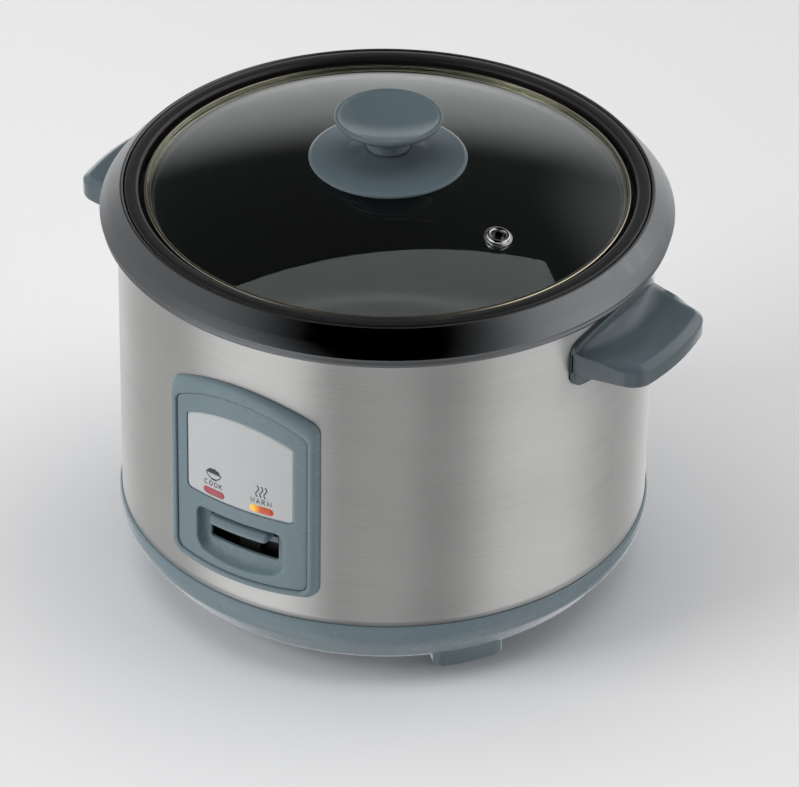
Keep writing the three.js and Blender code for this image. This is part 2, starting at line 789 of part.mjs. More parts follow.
// The see-saw arm: from under the magnet's rod, past the pivot, up between liner and shell to the lever.
const uprightFace = linerOuter + uprightOffset;
const leverCentre = panelBottom + slotBottom + slotHeight - leverThickness / 2 - 1;
function leverArm() {
  const front = -uprightFace;
  const back = front + uprightThickness;
  const low = pivotHeight - armThickness / 2;
  const rise = 14; // of the sloping part between the arm and its upright
  const tabHalf = uprightThickness / 2;
  const strip = sideStrip(
    [
      point(5, low),
      point(5, armTop),
      point(back + rise, armTop),
      point(back, armTop + rise),
      point(back, leverCentre + tabHalf),
      point(front - leverTab, leverCentre + tabHalf),
      point(front - leverTab, leverCentre - tabHalf),
      point(front, leverCentre - tabHalf),
      point(front, low + rise),
      point(front + rise, low),
    ],
    armWidth,
  );
  const hub = rod(pivotRadius + seatGap + 2, -armWidth / 2, armWidth / 2, 16)
    .rotateY(Math.PI / 2)
    .translate(0, -pivotSetback, pivotHeight);
  const bore = rod(pivotRadius + seatGap, -armWidth, armWidth, 16)
    .rotateY(Math.PI / 2)
    .translate(0, -pivotSetback, pivotHeight);
  return cut(join(strip, hub), bore);
}

// The lever's finger bar: a curved bar with a slit for the arm's tab, and an apron across the slot.
const leverFront = fasciaRadius + leverProud;
function leverKnob() {
  const low = leverCentre - leverThickness / 2;
  const high = leverCentre + leverThickness / 2;
  const depth = leverFront - uprightFace - 1.5;
  const curved = common(
    frontWall(leverFront - depth, leverFront),
    frontPrism(roundedBox(leverHalfWidth, low, high, 1.4), 2),
  );
  const apronBack = uprightFace + apronSetback;
  const apron = common(
    frontWall(apronBack, apronBack + apronThickness),
    frontPrism(roundedBox(leverHalfWidth + apronOverhang, low - apronHeight, low + seatGap, 0.5), 2),
  );
  const slit = block(
    [-armWidth / 2 - seatGap, -uprightFace - leverTab - seatGap, leverCentre - uprightThickness / 2 - seatGap],
    [armWidth / 2 + seatGap, 0, leverCentre + uprightThickness / 2 + seatGap],
  );
  return cut(join(curved, apron), slit);
}

const buttonTop = pivotHeight - armThickness / 2 - seatGap;
const buttonY = -pivotSetback - buttonSetback;
const switchTop = buttonTop - buttonProud;
add("mechanism_bracket", mechanismBracket(), sheetSteel);
add(
  "pivot_pin",
  rod(pivotRadius, -bracketWidth / 2 - 2, bracketWidth / 2 + 2, 16)
    .rotateY(Math.PI / 2)
    .translate(0, -pivotSetback, pivotHeight),
  brightSteel,
);
add("lever_arm", leverArm(), sheetSteel);
add("lever_knob", leverKnob(), greyPlastic);
add(
  "microswitch",
  cut(
    block(
      [-switchHalfWidth, buttonY - switchHalfWidth, coverBottom + coverThickness + seatGap],
      [switchHalfWidth, buttonY - switchHalfWidth + switchLength, switchTop],
    ),
    rod(buttonRadius + runGap, switchTop - 5, switchTop + 1, 12).translate(0, buttonY, 0),
  ),
  blackPlastic,
);
add("switch_button", rod(buttonRadius, switchTop - 0.6, buttonTop, 12).translate(0, buttonY, 0), ceramic);

// ---- Control panel ------------------------------------------------------------------------------
const wallFrom = shellRadius + seatGap;
const lensTools = (play) => lensPlaces.map(([, x]) => frontPrism(lensOutline(play), 2).translate(x, 0, 0));

function fascia() {
  const plate = common(frontWall(wallFrom, fasciaRadius), frontPrism(fasciaOutline(seatGap), 3));
  const floor = fasciaRadius - recessDepth;
  const tray = common(frontWall(floor - fasciaWall, floor), frontPrism(recessOutline(), 2));
  const walls = common(
    frontWall(floor - fasciaWall, fasciaRadius - 0.5),
    frontPrism(
      roundedBox(
        recessHalfWidth + recessWall,
        panelBottom + recessBottom - recessWall,
        panelBottom + recessBottom + recessHeight + recessWall,
        9,
      ),
      2,
    ),
  );
  const pocket = common(frontWall(floor, panelRadius + 5), frontPrism(recessOutline(), 2));
  const labelBed = common(
    frontWall(fasciaRadius - labelDepth, panelRadius + 5),
    frontPrism(labelOutline(0), 3),
  );
  return cut(join(plate, walls, tray), pocket, labelBed, frontPrism(slotOutline(), 1), ...lensTools(seatGap));
}

add(
  "control_bezel",
  cut(common(frontWall(wallFrom, panelRadius), frontPrism(panelOutline(), 4)), frontPrism(fasciaOutline(0), 3)),
  greyPlastic,
);
add("control_fascia", fascia(), greyPlastic);
add(
  "label_plate",
  cut(
    common(
      frontWall(fasciaRadius - labelDepth + seatGap, fasciaRadius + 0.5),
      frontPrism(labelOutline(seatGap), 3),
    ),
    ...lensTools(seatGap),
  ),
  labelPrint,
);
const boardFront = uprightFace + 5.3;
lensPlaces.forEach(([name, x, material]) => {
  const window = frontPrism(lensOutline(0), 2).translate(x, 0, 0);
  add(`${name}_lens`, common(frontWall(fasciaRadius - 2.2, fasciaRadius + 0.9), window), material);
  const lamp = rod(2, boardFront + seatGap, fasciaRadius - 4.6, 8);
  add(`${name}_lamp`, layForwards(lamp, x, lensCentre), brass);
});
add(
  "indicator_board",
  block(
    [-boardHalfWidth, -boardFront, lensCentre - 5],
    [boardHalfWidth, -boardFront + boardThickness, lensCentre - 5 + boardHeight],
  ),
  board,
);

// ---- Handles ------------------------------------------------------------------------------------
// Made facing the front, then turned to its side: an arched plate on the shell and a flat grip with a
// finger pocket underneath.
function handle() {
  const plate = common(
    frontWall(wallFrom, shellRadius + handlePlateProud),
    frontPrism(
      archedBox(
        handleHalfWidth,
        handlePlateTop - handlePlateHeight,
        handlePlateTop - handlePlateArch,
        handlePlateArch,
        6,
      ),
      4,
    ),
  );
  const tip = shellRadius + gripReach;
  const face = shellRadius + handlePlateProud;
  const rimWidth = 1.2;
  const rise = handlePlateTop - rimWidth - gripTop;
  // Seen from the side, the grip's top rises to the plate as a quarter of an ellipse.
  const curve = arc(0, 0, 1, 180, 270, 4).map((p) =>
    point(-(face + gripHollow * (1 + p.x)), gripTop + rise * (1 + p.y)),
  );
  const hollow = common(
    sideStrip([point(1 - face, gripTop - 2), point(1 - face, gripTop + rise), ...curve], 2 * gripRootHalfWidth),
    frontPrism(
      archedBox(
        gripRootHalfWidth,
        gripTop - gripThickness,
        handlePlateTop - handlePlateArch - rimWidth,
        handlePlateArch,
        3,
      ),
      4,
    ),
  );
  const grip = new THREE.Shape()
    .moveTo(-gripRootHalfWidth, -shellRadius * 0.8)
    .lineTo(gripRootHalfWidth, -shellRadius * 0.8)
    .lineTo(gripRootHalfWidth, -shellRadius)
    .lineTo(gripTipHalfWidth, -tip + gripCorner + 2)
    .quadraticCurveTo(gripTipHalfWidth, -tip + 3, gripTipHalfWidth - gripCorner, -tip + 2)
    .quadraticCurveTo(0, -tip - 2, -gripTipHalfWidth + gripCorner, -tip + 2)
    .quadraticCurveTo(-gripTipHalfWidth, -tip + 3, -gripTipHalfWidth, -tip + gripCorner + 2);
  const bottom = gripTop - gripThickness;
  // Spans beyond the body, so that the body's curve can be taken out of the grip.
  const body = rod(wallFrom, 0, 2 * shellTop, 72);
  const pocket = slab(
    new THREE.Shape()
      .moveTo(-gripTipHalfWidth + gripWall + 2, -shellRadius - gripRoot)
      .lineTo(gripTipHalfWidth - gripWall - 2, -shellRadius - gripRoot)
      .lineTo(gripTipHalfWidth - gripWall - 4, -tip + gripWall + 2)
      .lineTo(-gripTipHalfWidth + gripWall + 4, -tip + gripWall + 2),
    bottom - 1,
    bottom + gripPocketDepth,
  );
  const screwHoles = handleScrewOffsets.map((x) =>
    layForwards(rod(screwRadius + seatGap, 0, shellRadius + gripRoot - 2, 8), x, handleScrewHeight),
  );
  return cut(join(plate, hollow, cut(slab(grip, bottom, gripTop, 4), body)), pocket, ...screwHoles);
}

const handleScrewLength = shellRadius + gripRoot - 4 - handleScrewFace;
handleSides.forEach(([name, angle]) => {
  add(name, handle(), greyPlastic).rotation.z = radians(angle);
  handleScrewOffsets.forEach((x, i) => {
    const piece = layForwards(screw(handleScrewFace, handleScrewLength), x, handleScrewHeight);
    add(`${name}_screw_${i + 1}`, piece, sheetSteel).rotation.z = radians(angle);
  });
});

// ---- Power inlet --------------------------------------------------------------------------------
function powerInlet() {
  const flange = common(
    frontPrism(
      roundedBox(inletHalfWidth, inletCentre - inletHalfHeight, inletCentre + inletHalfHeight, 3),
      3,
    ),
    block([-shellRadius, -inletFace, 0], [shellRadius, 0, shellTop]),
  );
  const outside = cut(flange, rod(wallFrom, 0, 2 * shellTop, 72));
  const body = common(
    frontPrism(inletOutline(0), 2),
    block([-shellRadius, -inletFace + 1, 0], [shellRadius, -inletFace + inletBodyDepth, shellTop]),
  );
  const socket = common(
    frontPrism(
      roundedBox(socketHalfWidth, inletCentre - socketHalfHeight, inletCentre + socketHalfHeight, 3),
      2,
    ),
    block([-shellRadius, -inletFace - 5, 0], [shellRadius, -inletFace + socketDepth, shellTop]),
  );
  return cut(join(outside, body), socket);
}

const inletPins = [
  ["inlet_pin_live", -inletPinSpacing, -2.4],
  ["inlet_pin_neutral", inletPinSpacing, -2.4],
  ["inlet_pin_earth", 0, 2.4],
];
const rear = new THREE.Group();
rear.rotation.z = Math.PI;
cooker.add(rear);
add("power_inlet", powerInlet(), blackPlastic, rear);
inletPins.forEach(([name, x, z]) => {
  const root = -inletFace + socketDepth - seatGap;
  const pin = block(
    [x - inletPinThickness / 2, root - inletPinLength, inletCentre + z - inletPinWidth / 2],
    [x + inletPinThickness / 2, root, inletCentre + z + inletPinWidth / 2],
  );
  add(name, pin, brass, rear);
});

// Two leads run from the inlet down behind the liner to the heater's tails.
elementTails.forEach((x, i) => {
  const inletBack = inletFace - inletBodyDepth - seatGap;
  const route = new THREE.CatmullRomCurve3(
    [
      [x, inletBack - 0.2, inletCentre - socketHalfHeight],
      [x, inletBack - 5, inletCentre - socketHalfHeight - 1],
      [x, inletBack - 14, linerBottom - 10],
      [x, elementTailDistance + 22, linerBottom - 19],
      [x, elementTailDistance + 3, linerBottom - 20],
      [x, elementTailDistance, linerBottom - 8 - seatGap],
    ].map((p) => new THREE.Vector3(...p)),
  );
  add(["neutral_lead", "live_lead"][i], bar(route, leadRadius, 12, 5), i ? blackPlastic : redLens);
});

// ---- Pot ----------------------------------------------------------------------------------------
function innerPot() {
  const innerCorner = potCorner - potWall;
  const beadUnder = beadTop - beadSkirt;
  return revolve([
    point(0, potBottom),
    ...arc(potOuter - potCorner, potBottom + potCorner, potCorner, -90, 0, 3),
    point(potOuter, lidSeat - 2.6),
    point(beadInner - potWall, lidSeat),
    point(beadInner + potWall, lidSeat + beadStep),
    point(beadInner + potWall, beadUnder),
    point(flangeRadius - 0.6, beadUnder),
    ...arc(flangeRadius - 2, beadTop - 2, 2, 0, 90, 2),
    ...arc(beadInner + 2, beadTop - 2, 2, 90, 180, 2),
    point(beadInner, lidSeat + beadStep),
    point(lidRadius - 3, lidSeat),
    point(potInner, lidSeat - 1.2),
    ...arc(potInner - innerCorner, potFloor + innerCorner, innerCorner, 0, -90, 3),
    point(0, potFloor),
  ]);
}

const potGroup = new THREE.Group();
cooker.add(potGroup);
add("inner_pot", innerPot(), potCoat, potGroup);

// ---- Lid ----------------------------------------------------------------------------------------
// The dome is part of a sphere through the glass's top edge and its middle.
const domeRadius = (glassEdge ** 2 + domeRise ** 2) / (2 * domeRise);
const domeHeight = (r) => glassTop - domeRadius + Math.sqrt(domeRadius ** 2 - r ** 2);
const ventPlace = [
  ventDistance * Math.sin(radians(ventAngle)),
  -ventDistance * Math.cos(radians(ventAngle)),
];
const ventTilt = Math.asin(ventDistance / domeRadius);
// Leans a piece made on Z at the origin with the dome, and moves it to the vent's place.
const atVent = (geometry) =>
  geometry
    .rotateX(ventTilt)
    .rotateZ(radians(ventAngle))
    .translate(ventPlace[0], ventPlace[1], domeHeight(ventDistance));

// Points of a shell under the dome, from one radius to another, lowered by depth.
function domeLine(from, to, depth, steps = 4) {
  return Array.from({ length: steps + 1 }, (_, i) => {
    const r = from + ((to - from) * i) / steps;
    return point(r, domeHeight(r) - depth);
  });
}

function lidGlass() {
  const bore = knobScrewRadius + runGap;
  const dome = revolve([
    ...domeLine(bore, glassEdge, 0),
    ...domeLine(glassEdge, bore, glassThickness),
  ]);
  return cut(dome, atVent(rod(ventHoleRadius + ventTubeWall + runGap, -12, 12, 16)));
}

// A steel channel around the glass's edge.
function lidRim() {
  const top = lidBottom + lidRimHeight;
  const glassUnder = glassTopEdge - glassThickness;
  const lip = lidRadius - lidRimLip;
  const shelf = lidRadius - lidRimShelf;
  return revolve([
    point(shelf, lidBottom),
    point(lidRadius, lidBottom),
    point(lidRadius, top - 0.8),
    point(lidRadius - 0.8, top),
    point(lip, domeHeight(lip) + seatGap + lidRimWall),
    point(lip, domeHeight(lip) + seatGap),
    point(lidRadius - lidRimWall, glassTopEdge + seatGap),
    point(lidRadius - lidRimWall, glassUnder - seatGap),
    point(shelf, glassUnder - seatGap),
  ]);
}

const discBottom = glassTop + seatGap;
const discTop = discBottom + knobDiscRise;
const knobBottom = discTop + seatGap;
const knobDishUnder = knobBottom + knobNeckHeight;
const knobTop = knobDishUnder + knobRimHeight;

// The saucer under the knob; its underside follows the dome.
function knobDisc() {
  const bore = knobScrewRadius + seatGap;
  const rimLow = domeHeight(knobDiscRadius) + seatGap;
  return revolve(
    [
      ...domeLine(bore, knobDiscRadius - 1, -seatGap, 2),
      point(knobDiscRadius, rimLow + 0.9),
      point(knobDiscRadius - 0.6, rimLow + 1.9),
      point(knobNeckRadius + 1, discTop),
      point(bore, discTop),
    ],
    24,
  );
}

// The mushroom knob: a neck that flares into a dished head.
function knobHead() {
  const bore = knobScrewRadius + seatGap;
  const boreTop = knobBottom + knobNeckHeight * 0.8;
  return revolve(
    [
      point(0, boreTop),
      point(bore, boreTop),
      point(bore, knobBottom),
      point(knobNeckRadius, knobBottom),
      point(knobNeckRadius - 0.6, knobDishUnder - 3),
      point(knobNeckRadius + 2, knobDishUnder),
      point(knobRadius - 4, knobTop - 4.2),
      ...arc(knobRadius - 1.6, knobTop - 1.8, 1.6, -50, 90, 2),
      point(knobRadius - 3.6, knobTop - 1),
      point((knobRadius - 3.6) * 0.6, knobTop - knobDishDepth * 0.8),
      point(0, knobTop - knobDishDepth),
    ],
    24,
  );
}

// A rolled steel eyelet through the glass.
function steamVent() {
  const bore = ventHoleRadius;
  const tube = ventHoleRadius + ventTubeWall;
  const under = -glassThickness - 0.8;
  return atVent(
    revolve(
      [
        point(bore, under - 1),
        point(tube + 1.6, under - 1),
        point(tube + 1.6, under),
        point(tube, under),
        point(tube, seatGap + 0.2),
        point(ventFlangeRadius, seatGap + 0.2),
        point(ventFlangeRadius, seatGap + 0.8),
        point(ventFlangeRadius - 2, seatGap + 2.2),
        point(bore + 0.8, seatGap + 2.2),
        point(bore, seatGap + 1.4),
      ],
      16,
    ),
  );
}

const lidGroup = new THREE.Group();
potGroup.add(lidGroup);
const washerTop = glassTop - glassThickness - seatGap;
add("lid_glass", lidGlass(), rimGlass, lidGroup);
add("lid_rim", lidRim(), brightSteel, lidGroup);
add("steam_vent", steamVent(), brightSteel, lidGroup);
add("knob_disc", knobDisc(), greyPlastic, lidGroup);
add("lid_knob", knobHead(), greyPlastic, lidGroup);
add(
  "knob_washer",
  revolve(
    [
      point(knobScrewRadius + seatGap, washerTop - washerHeight),
      point(washerRadius, washerTop - washerHeight),
      point(washerRadius, washerTop - seatGap),
      point(knobScrewRadius + seatGap, washerTop - seatGap),
    ],
    24,
  ),
  rubber,
  lidGroup,
);
const knobScrewFace = washerTop - washerHeight - seatGap;
add(
  "knob_screw",
  screw(knobScrewFace, knobBottom + knobNeckHeight * 0.7 - knobScrewFace, knobScrewRadius, knobScrewHeadRadius),
  brightSteel,
  lidGroup,
);

export default cooker;
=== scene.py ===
"""Finished surfaces, materials and studio for a drum rice cooker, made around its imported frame."""

import json
import math

import bpy
import numpy as np
from mathutils import Matrix, Vector

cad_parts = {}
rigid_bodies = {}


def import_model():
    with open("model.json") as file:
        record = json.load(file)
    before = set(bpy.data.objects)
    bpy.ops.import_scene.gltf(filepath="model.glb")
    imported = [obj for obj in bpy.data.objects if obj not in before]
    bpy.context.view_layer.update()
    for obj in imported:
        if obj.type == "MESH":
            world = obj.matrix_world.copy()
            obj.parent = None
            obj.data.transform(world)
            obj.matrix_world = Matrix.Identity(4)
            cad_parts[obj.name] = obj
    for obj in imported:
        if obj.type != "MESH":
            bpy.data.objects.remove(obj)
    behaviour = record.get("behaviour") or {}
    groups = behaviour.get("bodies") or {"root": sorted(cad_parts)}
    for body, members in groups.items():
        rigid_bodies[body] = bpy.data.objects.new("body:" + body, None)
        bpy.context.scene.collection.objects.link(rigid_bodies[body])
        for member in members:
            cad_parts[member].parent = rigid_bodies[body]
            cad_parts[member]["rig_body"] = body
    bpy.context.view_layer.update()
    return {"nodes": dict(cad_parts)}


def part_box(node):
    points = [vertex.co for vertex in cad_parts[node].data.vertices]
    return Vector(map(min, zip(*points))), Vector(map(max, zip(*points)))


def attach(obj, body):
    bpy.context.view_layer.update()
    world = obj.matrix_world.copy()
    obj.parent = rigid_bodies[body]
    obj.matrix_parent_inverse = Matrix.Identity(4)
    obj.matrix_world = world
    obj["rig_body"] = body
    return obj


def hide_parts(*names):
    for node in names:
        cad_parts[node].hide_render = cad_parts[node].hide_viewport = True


bl_info = {
    "name": "Drum Rice Cooker",
    "version": (1, 0, 0),
    "blender": (4, 5, 0),
    "location": "3D View > Sidebar > Rice Cooker",
    "description": "Makes the finished pieces of a drum rice cooker and a studio for it",
    "category": "Add Mesh",
}

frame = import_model()

MM = 0.001
FULL_TURN = 2 * math.pi


# ---- Outlines and profiles ----------------------------------------------------------------------
def span(node):
    """Lowest and highest corner of a frame node, in millimetres."""
    low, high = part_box(node)
    return np.array(low) / MM, np.array(high) / MM


def arc(centre, radius, start, end, steps):
    """Points centre + radius (cos a, sin a), for equally spaced a from start to end in radians."""
    angle = np.linspace(start, end, steps + 1)
    return np.column_stack([centre[0] + radius * np.cos(angle), centre[1] + radius * np.sin(angle)])


def rounded(corners, closed=True, steps=6):
    """A line through corners (x, y, r). Each corner becomes the arc of radius r that touches both its
    sides: its ends lie r / tan(half the corner's angle) away, its centre r / sin(half) along the bisector."""
    places = np.array([corner[:2] for corner in corners], float)
    pieces = []
    for i, corner in enumerate(corners):
        place = places[i]
        size = corner[2] if len(corner) > 2 else 0
        if size <= 0 or (not closed and i in (0, len(corners) - 1)):
            pieces.append(place[None])
            continue
        back = places[i - 1] - place
        ahead = places[(i + 1) % len(corners)] - place
        shortest = min(np.linalg.norm(back), np.linalg.norm(ahead))
        back /= np.linalg.norm(back)
        ahead /= np.linalg.norm(ahead)
        half = math.acos(np.clip(back @ ahead, -1, 1)) / 2
        reach = min(size / math.tan(half), 0.48 * shortest)
        size = reach * math.tan(half)
        bisector = (back + ahead) / np.linalg.norm(back + ahead)
        centre = place + bisector * size / math.sin(half)
        turn = math.pi - 2 * half
        share = np.linspace(0, 1, steps + 1)[:, None]
        start = place + back * reach - centre
        end = place + ahead * reach - centre
        blend = np.sin((1 - share) * turn) * start + np.sin(share * turn) * end
        pieces.append(centre + blend / math.sin(turn))
    return np.concatenate(pieces)


def edge_run(half, height, bow, corner, inset, edge_inset):
    """Half of an outline's upper edge, from its side to its middle: a corner arc, then a straight line, or
    the arc through both ends of the edge that stands bow higher in its middle. Insets move it inwards."""
    wide = half - inset
    turn = max(corner - inset, 0)
    if bow > 0:
        radius = (half**2 + bow**2) / (2 * bow)
        middle = height + bow - radius
        radius -= edge_inset
        level = middle + math.sqrt((radius - turn) ** 2 - (wide - turn) ** 2)
        shoulder = math.atan2(level - middle, wide - turn)
        run = arc((0, middle), radius, shoulder, math.pi / 2, 16)
    else:
        level = height - edge_inset - turn
        shoulder = math.pi / 2
        run = np.linspace((wide - turn, level + turn), (0, level + turn), 17)
    return np.concatenate([arc((wide - turn, level), turn, 0, shoulder, 8), run[1:]])


def outline(half, low, high, bows=(0, 0), corners=(0, 0), inset=0, kept=None):
    """A closed outline of (across, up) with two upright sides, and a lower and an upper edge that may bow
    outwards. Every outline has the same number of points in the same order, so any two can be lofted.
    inset moves its edges inwards, except the kept one of "low" and "high"."""
    upper = edge_run(half, high, bows[1], corners[1], inset, 0 if kept == "high" else inset)
    lower = edge_run(half, -low, bows[0], corners[0], inset, 0 if kept == "low" else inset) * (1, -1)
    side = np.linspace(lower[0], upper[0], 14)[1:-1]
    right = np.concatenate([lower[::-1], side, upper])
    left = right[::-1] * (-1, 1)
    return np.concatenate([right, left[1:-1]])


# ---- Surfaces -----------------------------------------------------------------------------------
def turned_grid(profile, segments):
    """Points (r cos a, r sin a, z): each profile point (r, z) carried round Z by segments angles a."""
    angle = np.arange(segments) / segments * FULL_TURN
    r, z = profile[:, :1], profile[:, 1:]
    return np.stack([r * np.cos(angle), r * np.sin(angle), z + 0 * angle], -1)


def on_front(points, radius):
    """Puts (across, up) points on the upright cylinder of that radius, where it faces -Y."""
    across, up = points[..., 0], points[..., 1]
    return np.stack([across, -np.sqrt(np.square(radius) - across**2), up + 0 * across], -1)


def turned_about_z(points, degrees):
    turn = np.array(Matrix.Rotation(math.radians(degrees), 3, "Z"))
    return points @ turn.T


def between(first, last, steps):
    """Loops spaced equally from first to last, both left out."""
    share = np.linspace(0, 1, steps + 2)[1:-1]
    return [first + (last - first) * s for s in share]


def shrunk(loop, shares):
    """Copies of a loop drawn towards its middle, each (1 - share) of the way there."""
    middle = loop.mean(axis=0)
    return [middle + (loop - middle) * s for s in shares]


def middle_of(grid):
    """Mean point of a grid, which an outward face points away from."""
    return grid.mean(axis=(0, 1))


def patch(grid, wrap_rows=False, wrap_columns=True, behind=(0, 0, 0), skip=None):
    """Corner points (faces, 4, 3) of the quads over a grid, and their places (faces, 4, 2) as arc length
    across and along it. They face away from the point behind, or outwards where the grid is closed."""
    rows, columns = grid.shape[:2]
    across = np.linalg.norm(np.diff(grid, axis=1, append=grid[:, :1]), axis=2)
    widest = across.sum(axis=1).argmax()
    u = np.concatenate([[0], np.cumsum(across[widest])])
    along = np.linalg.norm(np.diff(grid, axis=0, append=grid[:1]), axis=2).max(axis=1)
    v = np.concatenate([[0], np.cumsum(along)])
    i, j = np.meshgrid(
        np.arange(rows if wrap_rows else rows - 1),
        np.arange(columns if wrap_columns else columns - 1),
        indexing="ij",
    )
    i, j = i.ravel(), j.ravel()
    if skip is not None:
        kept = ~skip(grid[i, j] * 0.5 + grid[(i + 1) % rows, (j + 1) % columns] * 0.5)
        i, j = i[kept], j[kept]
    steps = [(0, 0), (1, 0), (1, 1), (0, 1)]
    quads = np.stack([grid[(i + a) % rows, (j + b) % columns] for a, b in steps], 1)
    places = np.stack([np.stack([u[j + b], v[i + a]], -1) for a, b in steps], 1)
    normal = np.cross(quads[:, 2] - quads[:, 0], quads[:, 3] - quads[:, 1])
    if ((quads.mean(axis=1) - np.array(behind)) * normal).sum() < 0:
        quads, places = quads[:, ::-1], places[:, ::-1]
    return quads, places


def piece(name, patches, node, finish, smooth=40, wall=None, replaces=True):
    """Joins patches into one mesh: points closer than a micron become one, and quads with two equal
    corners become triangles. The piece takes its body from the frame node that it stands for."""
    quads = np.concatenate([p[0] for p in patches])
    places = np.concatenate([p[1] for p in patches]) * MM
    _, first, same = np.unique(
        np.round(quads.reshape(-1, 3), 3), axis=0, return_index=True, return_inverse=True
    )
    points = quads.reshape(-1, 3)[first] * MM
    corners = same.reshape(-1, 4)
    halves = np.concatenate([corners[:, [0, 1, 2]], corners[:, [0, 2, 3]]])
    half_places = np.concatenate([places[:, [0, 1, 2]], places[:, [0, 2, 3]]])
    whole = np.array([len(set(face)) == 4 for face in corners.tolist()])
    full = (halves[:, 0] != halves[:, 1]) & (halves[:, 1] != halves[:, 2]) & (halves[:, 2] != halves[:, 0])
    broken = full & ~np.tile(whole, 2)
    loops = np.concatenate([corners[whole].ravel(), halves[broken].ravel()])
    uv = np.concatenate([places[whole].reshape(-1, 2), half_places[broken].reshape(-1, 2)])
    sizes = np.concatenate([np.full(whole.sum(), 4), np.full(broken.sum(), 3)])
    mesh = bpy.data.meshes.new(name)
    mesh.vertices.add(len(points))
    mesh.vertices.foreach_set("co", points.ravel())
    mesh.loops.add(len(loops))
    mesh.loops.foreach_set("vertex_index", loops.astype(np.int32))
    mesh.polygons.add(len(sizes))
    mesh.polygons.foreach_set("loop_start", np.concatenate([[0], np.cumsum(sizes)[:-1]]).astype(np.int32))
    mesh.uv_layers.new(name="surface").data.foreach_set("uv", uv.astype(np.float32).ravel())
    mesh.update(calc_edges=True)
    mesh.validate()
    mesh.shade_smooth()
    mesh.set_sharp_from_angle(angle=math.radians(smooth))
    made = bpy.data.objects.new(name, mesh)
    bpy.context.scene.collection.objects.link(made)
    if wall:
        solid = made.modifiers.new("wall", "SOLIDIFY")
        solid.thickness = wall * MM
        solid.offset = -1
        solid.use_even_offset = True
    dress(made, finish)
    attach(made, frame["nodes"][node]["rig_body"])
    if replaces:
        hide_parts(node)
    return made


def turned(name, corners, node, finish, segments=180, closed=True, steps=6, **more):
    """A turned piece: its profile of (radius, height, fillet) carried round Z."""
    profile = rounded(corners, closed, steps)
    return piece(name, [patch(turned_grid(profile, segments), wrap_rows=closed)], node, finish, **more)


# ---- Shader groups ------------------------------------------------------------------------------
class Nodes:
    """Adds nodes to a tree from left to right, and links or sets their inputs by name."""

    def __init__(self, tree):
        self.tree = tree

    def add(self, kind, inputs=None, **settings):
        node = self.tree.nodes.new(kind)
        node.location = (180 * len(self.tree.nodes), 0)
        for key, value in settings.items():
            setattr(node, key, value)
        for key, value in (inputs or {}).items():
            socket = node.inputs[key]
            if isinstance(value, bpy.types.NodeSocket):
                self.tree.links.new(value, socket)
            else:
                socket.default_value = value
        return node

    def math(self, operation, *values, clamp=False):
        inputs = dict(enumerate(values))
        return self.add("ShaderNodeMath", inputs, operation=operation, use_clamp=clamp).outputs[0]

    def noise(self, vector, scale, detail=2, roughness=0.5):
        inputs = {"Vector": vector, "Scale": scale, "Detail": detail, "Roughness": roughness}
        return self.add("ShaderNodeTexNoise", inputs).outputs["Fac"]

    def scaled(self, vector, factors):
        return self.add(
            "ShaderNodeVectorMath", {0: vector, 1: factors}, operation="MULTIPLY"
        ).outputs[0]

    def range(self, value, start, end, low=0.0, high=1.0):
        inputs = {"Value": value, "From Min": start, "From Max": end, "To Min": low, "To Max": high}
        return self.add("ShaderNodeMapRange", inputs, interpolation_type="SMOOTHSTEP").outputs[0]

    def tint(self, colour, factor):
        """The colour times a grey factor."""
        mixed = self.add("ShaderNodeMix", data_type="RGBA", blend_type="MULTIPLY")
        mixed.inputs["Factor"].default_value = 1
        for socket, value in ((mixed.inputs[6], colour), (mixed.inputs[7], factor)):
            if isinstance(value, bpy.types.NodeSocket):
                self.tree.links.new(value, socket)
            else:
                socket.default_value = value
        return mixed.outputs[2]

    def blend(self, factor, first, second):
        mixed = self.add("ShaderNodeMix", data_type="RGBA")
        sockets = mixed.inputs[0], mixed.inputs[6], mixed.inputs[7]
        for socket, value in zip(sockets, (factor, first, second)):
            if isinstance(value, bpy.types.NodeSocket):
                self.tree.links.new(value, socket)
            else:
                socket.default_value = value
        return mixed.outputs[2]

    def bump(self, height, distance, strength=1.0, normal=None):
        inputs = {"Height": height, "Distance": distance, "Strength": strength}
        if normal is not None:
            inputs["Normal"] = normal
        return self.add("ShaderNodeBump", inputs).outputs["Normal"]


def shader_group(name, inputs, outputs, fill):
    """A node group with named sockets, filled by fill(nodes, input sockets), which returns its outputs."""
    tree = bpy.data.node_groups.new(name, "ShaderNodeTree")
    for label, kind, default in inputs:
        socket = tree.interface.new_socket(name=label, in_out="INPUT", socket_type=kind)
        if default is not None:
            socket.default_value = default
    for label, kind in outputs:
        tree.interface.new_socket(name=label, in_out="OUTPUT", socket_type=kind)
    nodes = Nodes(tree)
    entry = nodes.add("NodeGroupInput").outputs
    results = fill(nodes, entry)
    nodes.add("NodeGroupOutput", dict(results))
    return tree


VECTOR, NUMBER = "NodeSocketVector", "NodeSocketFloat"


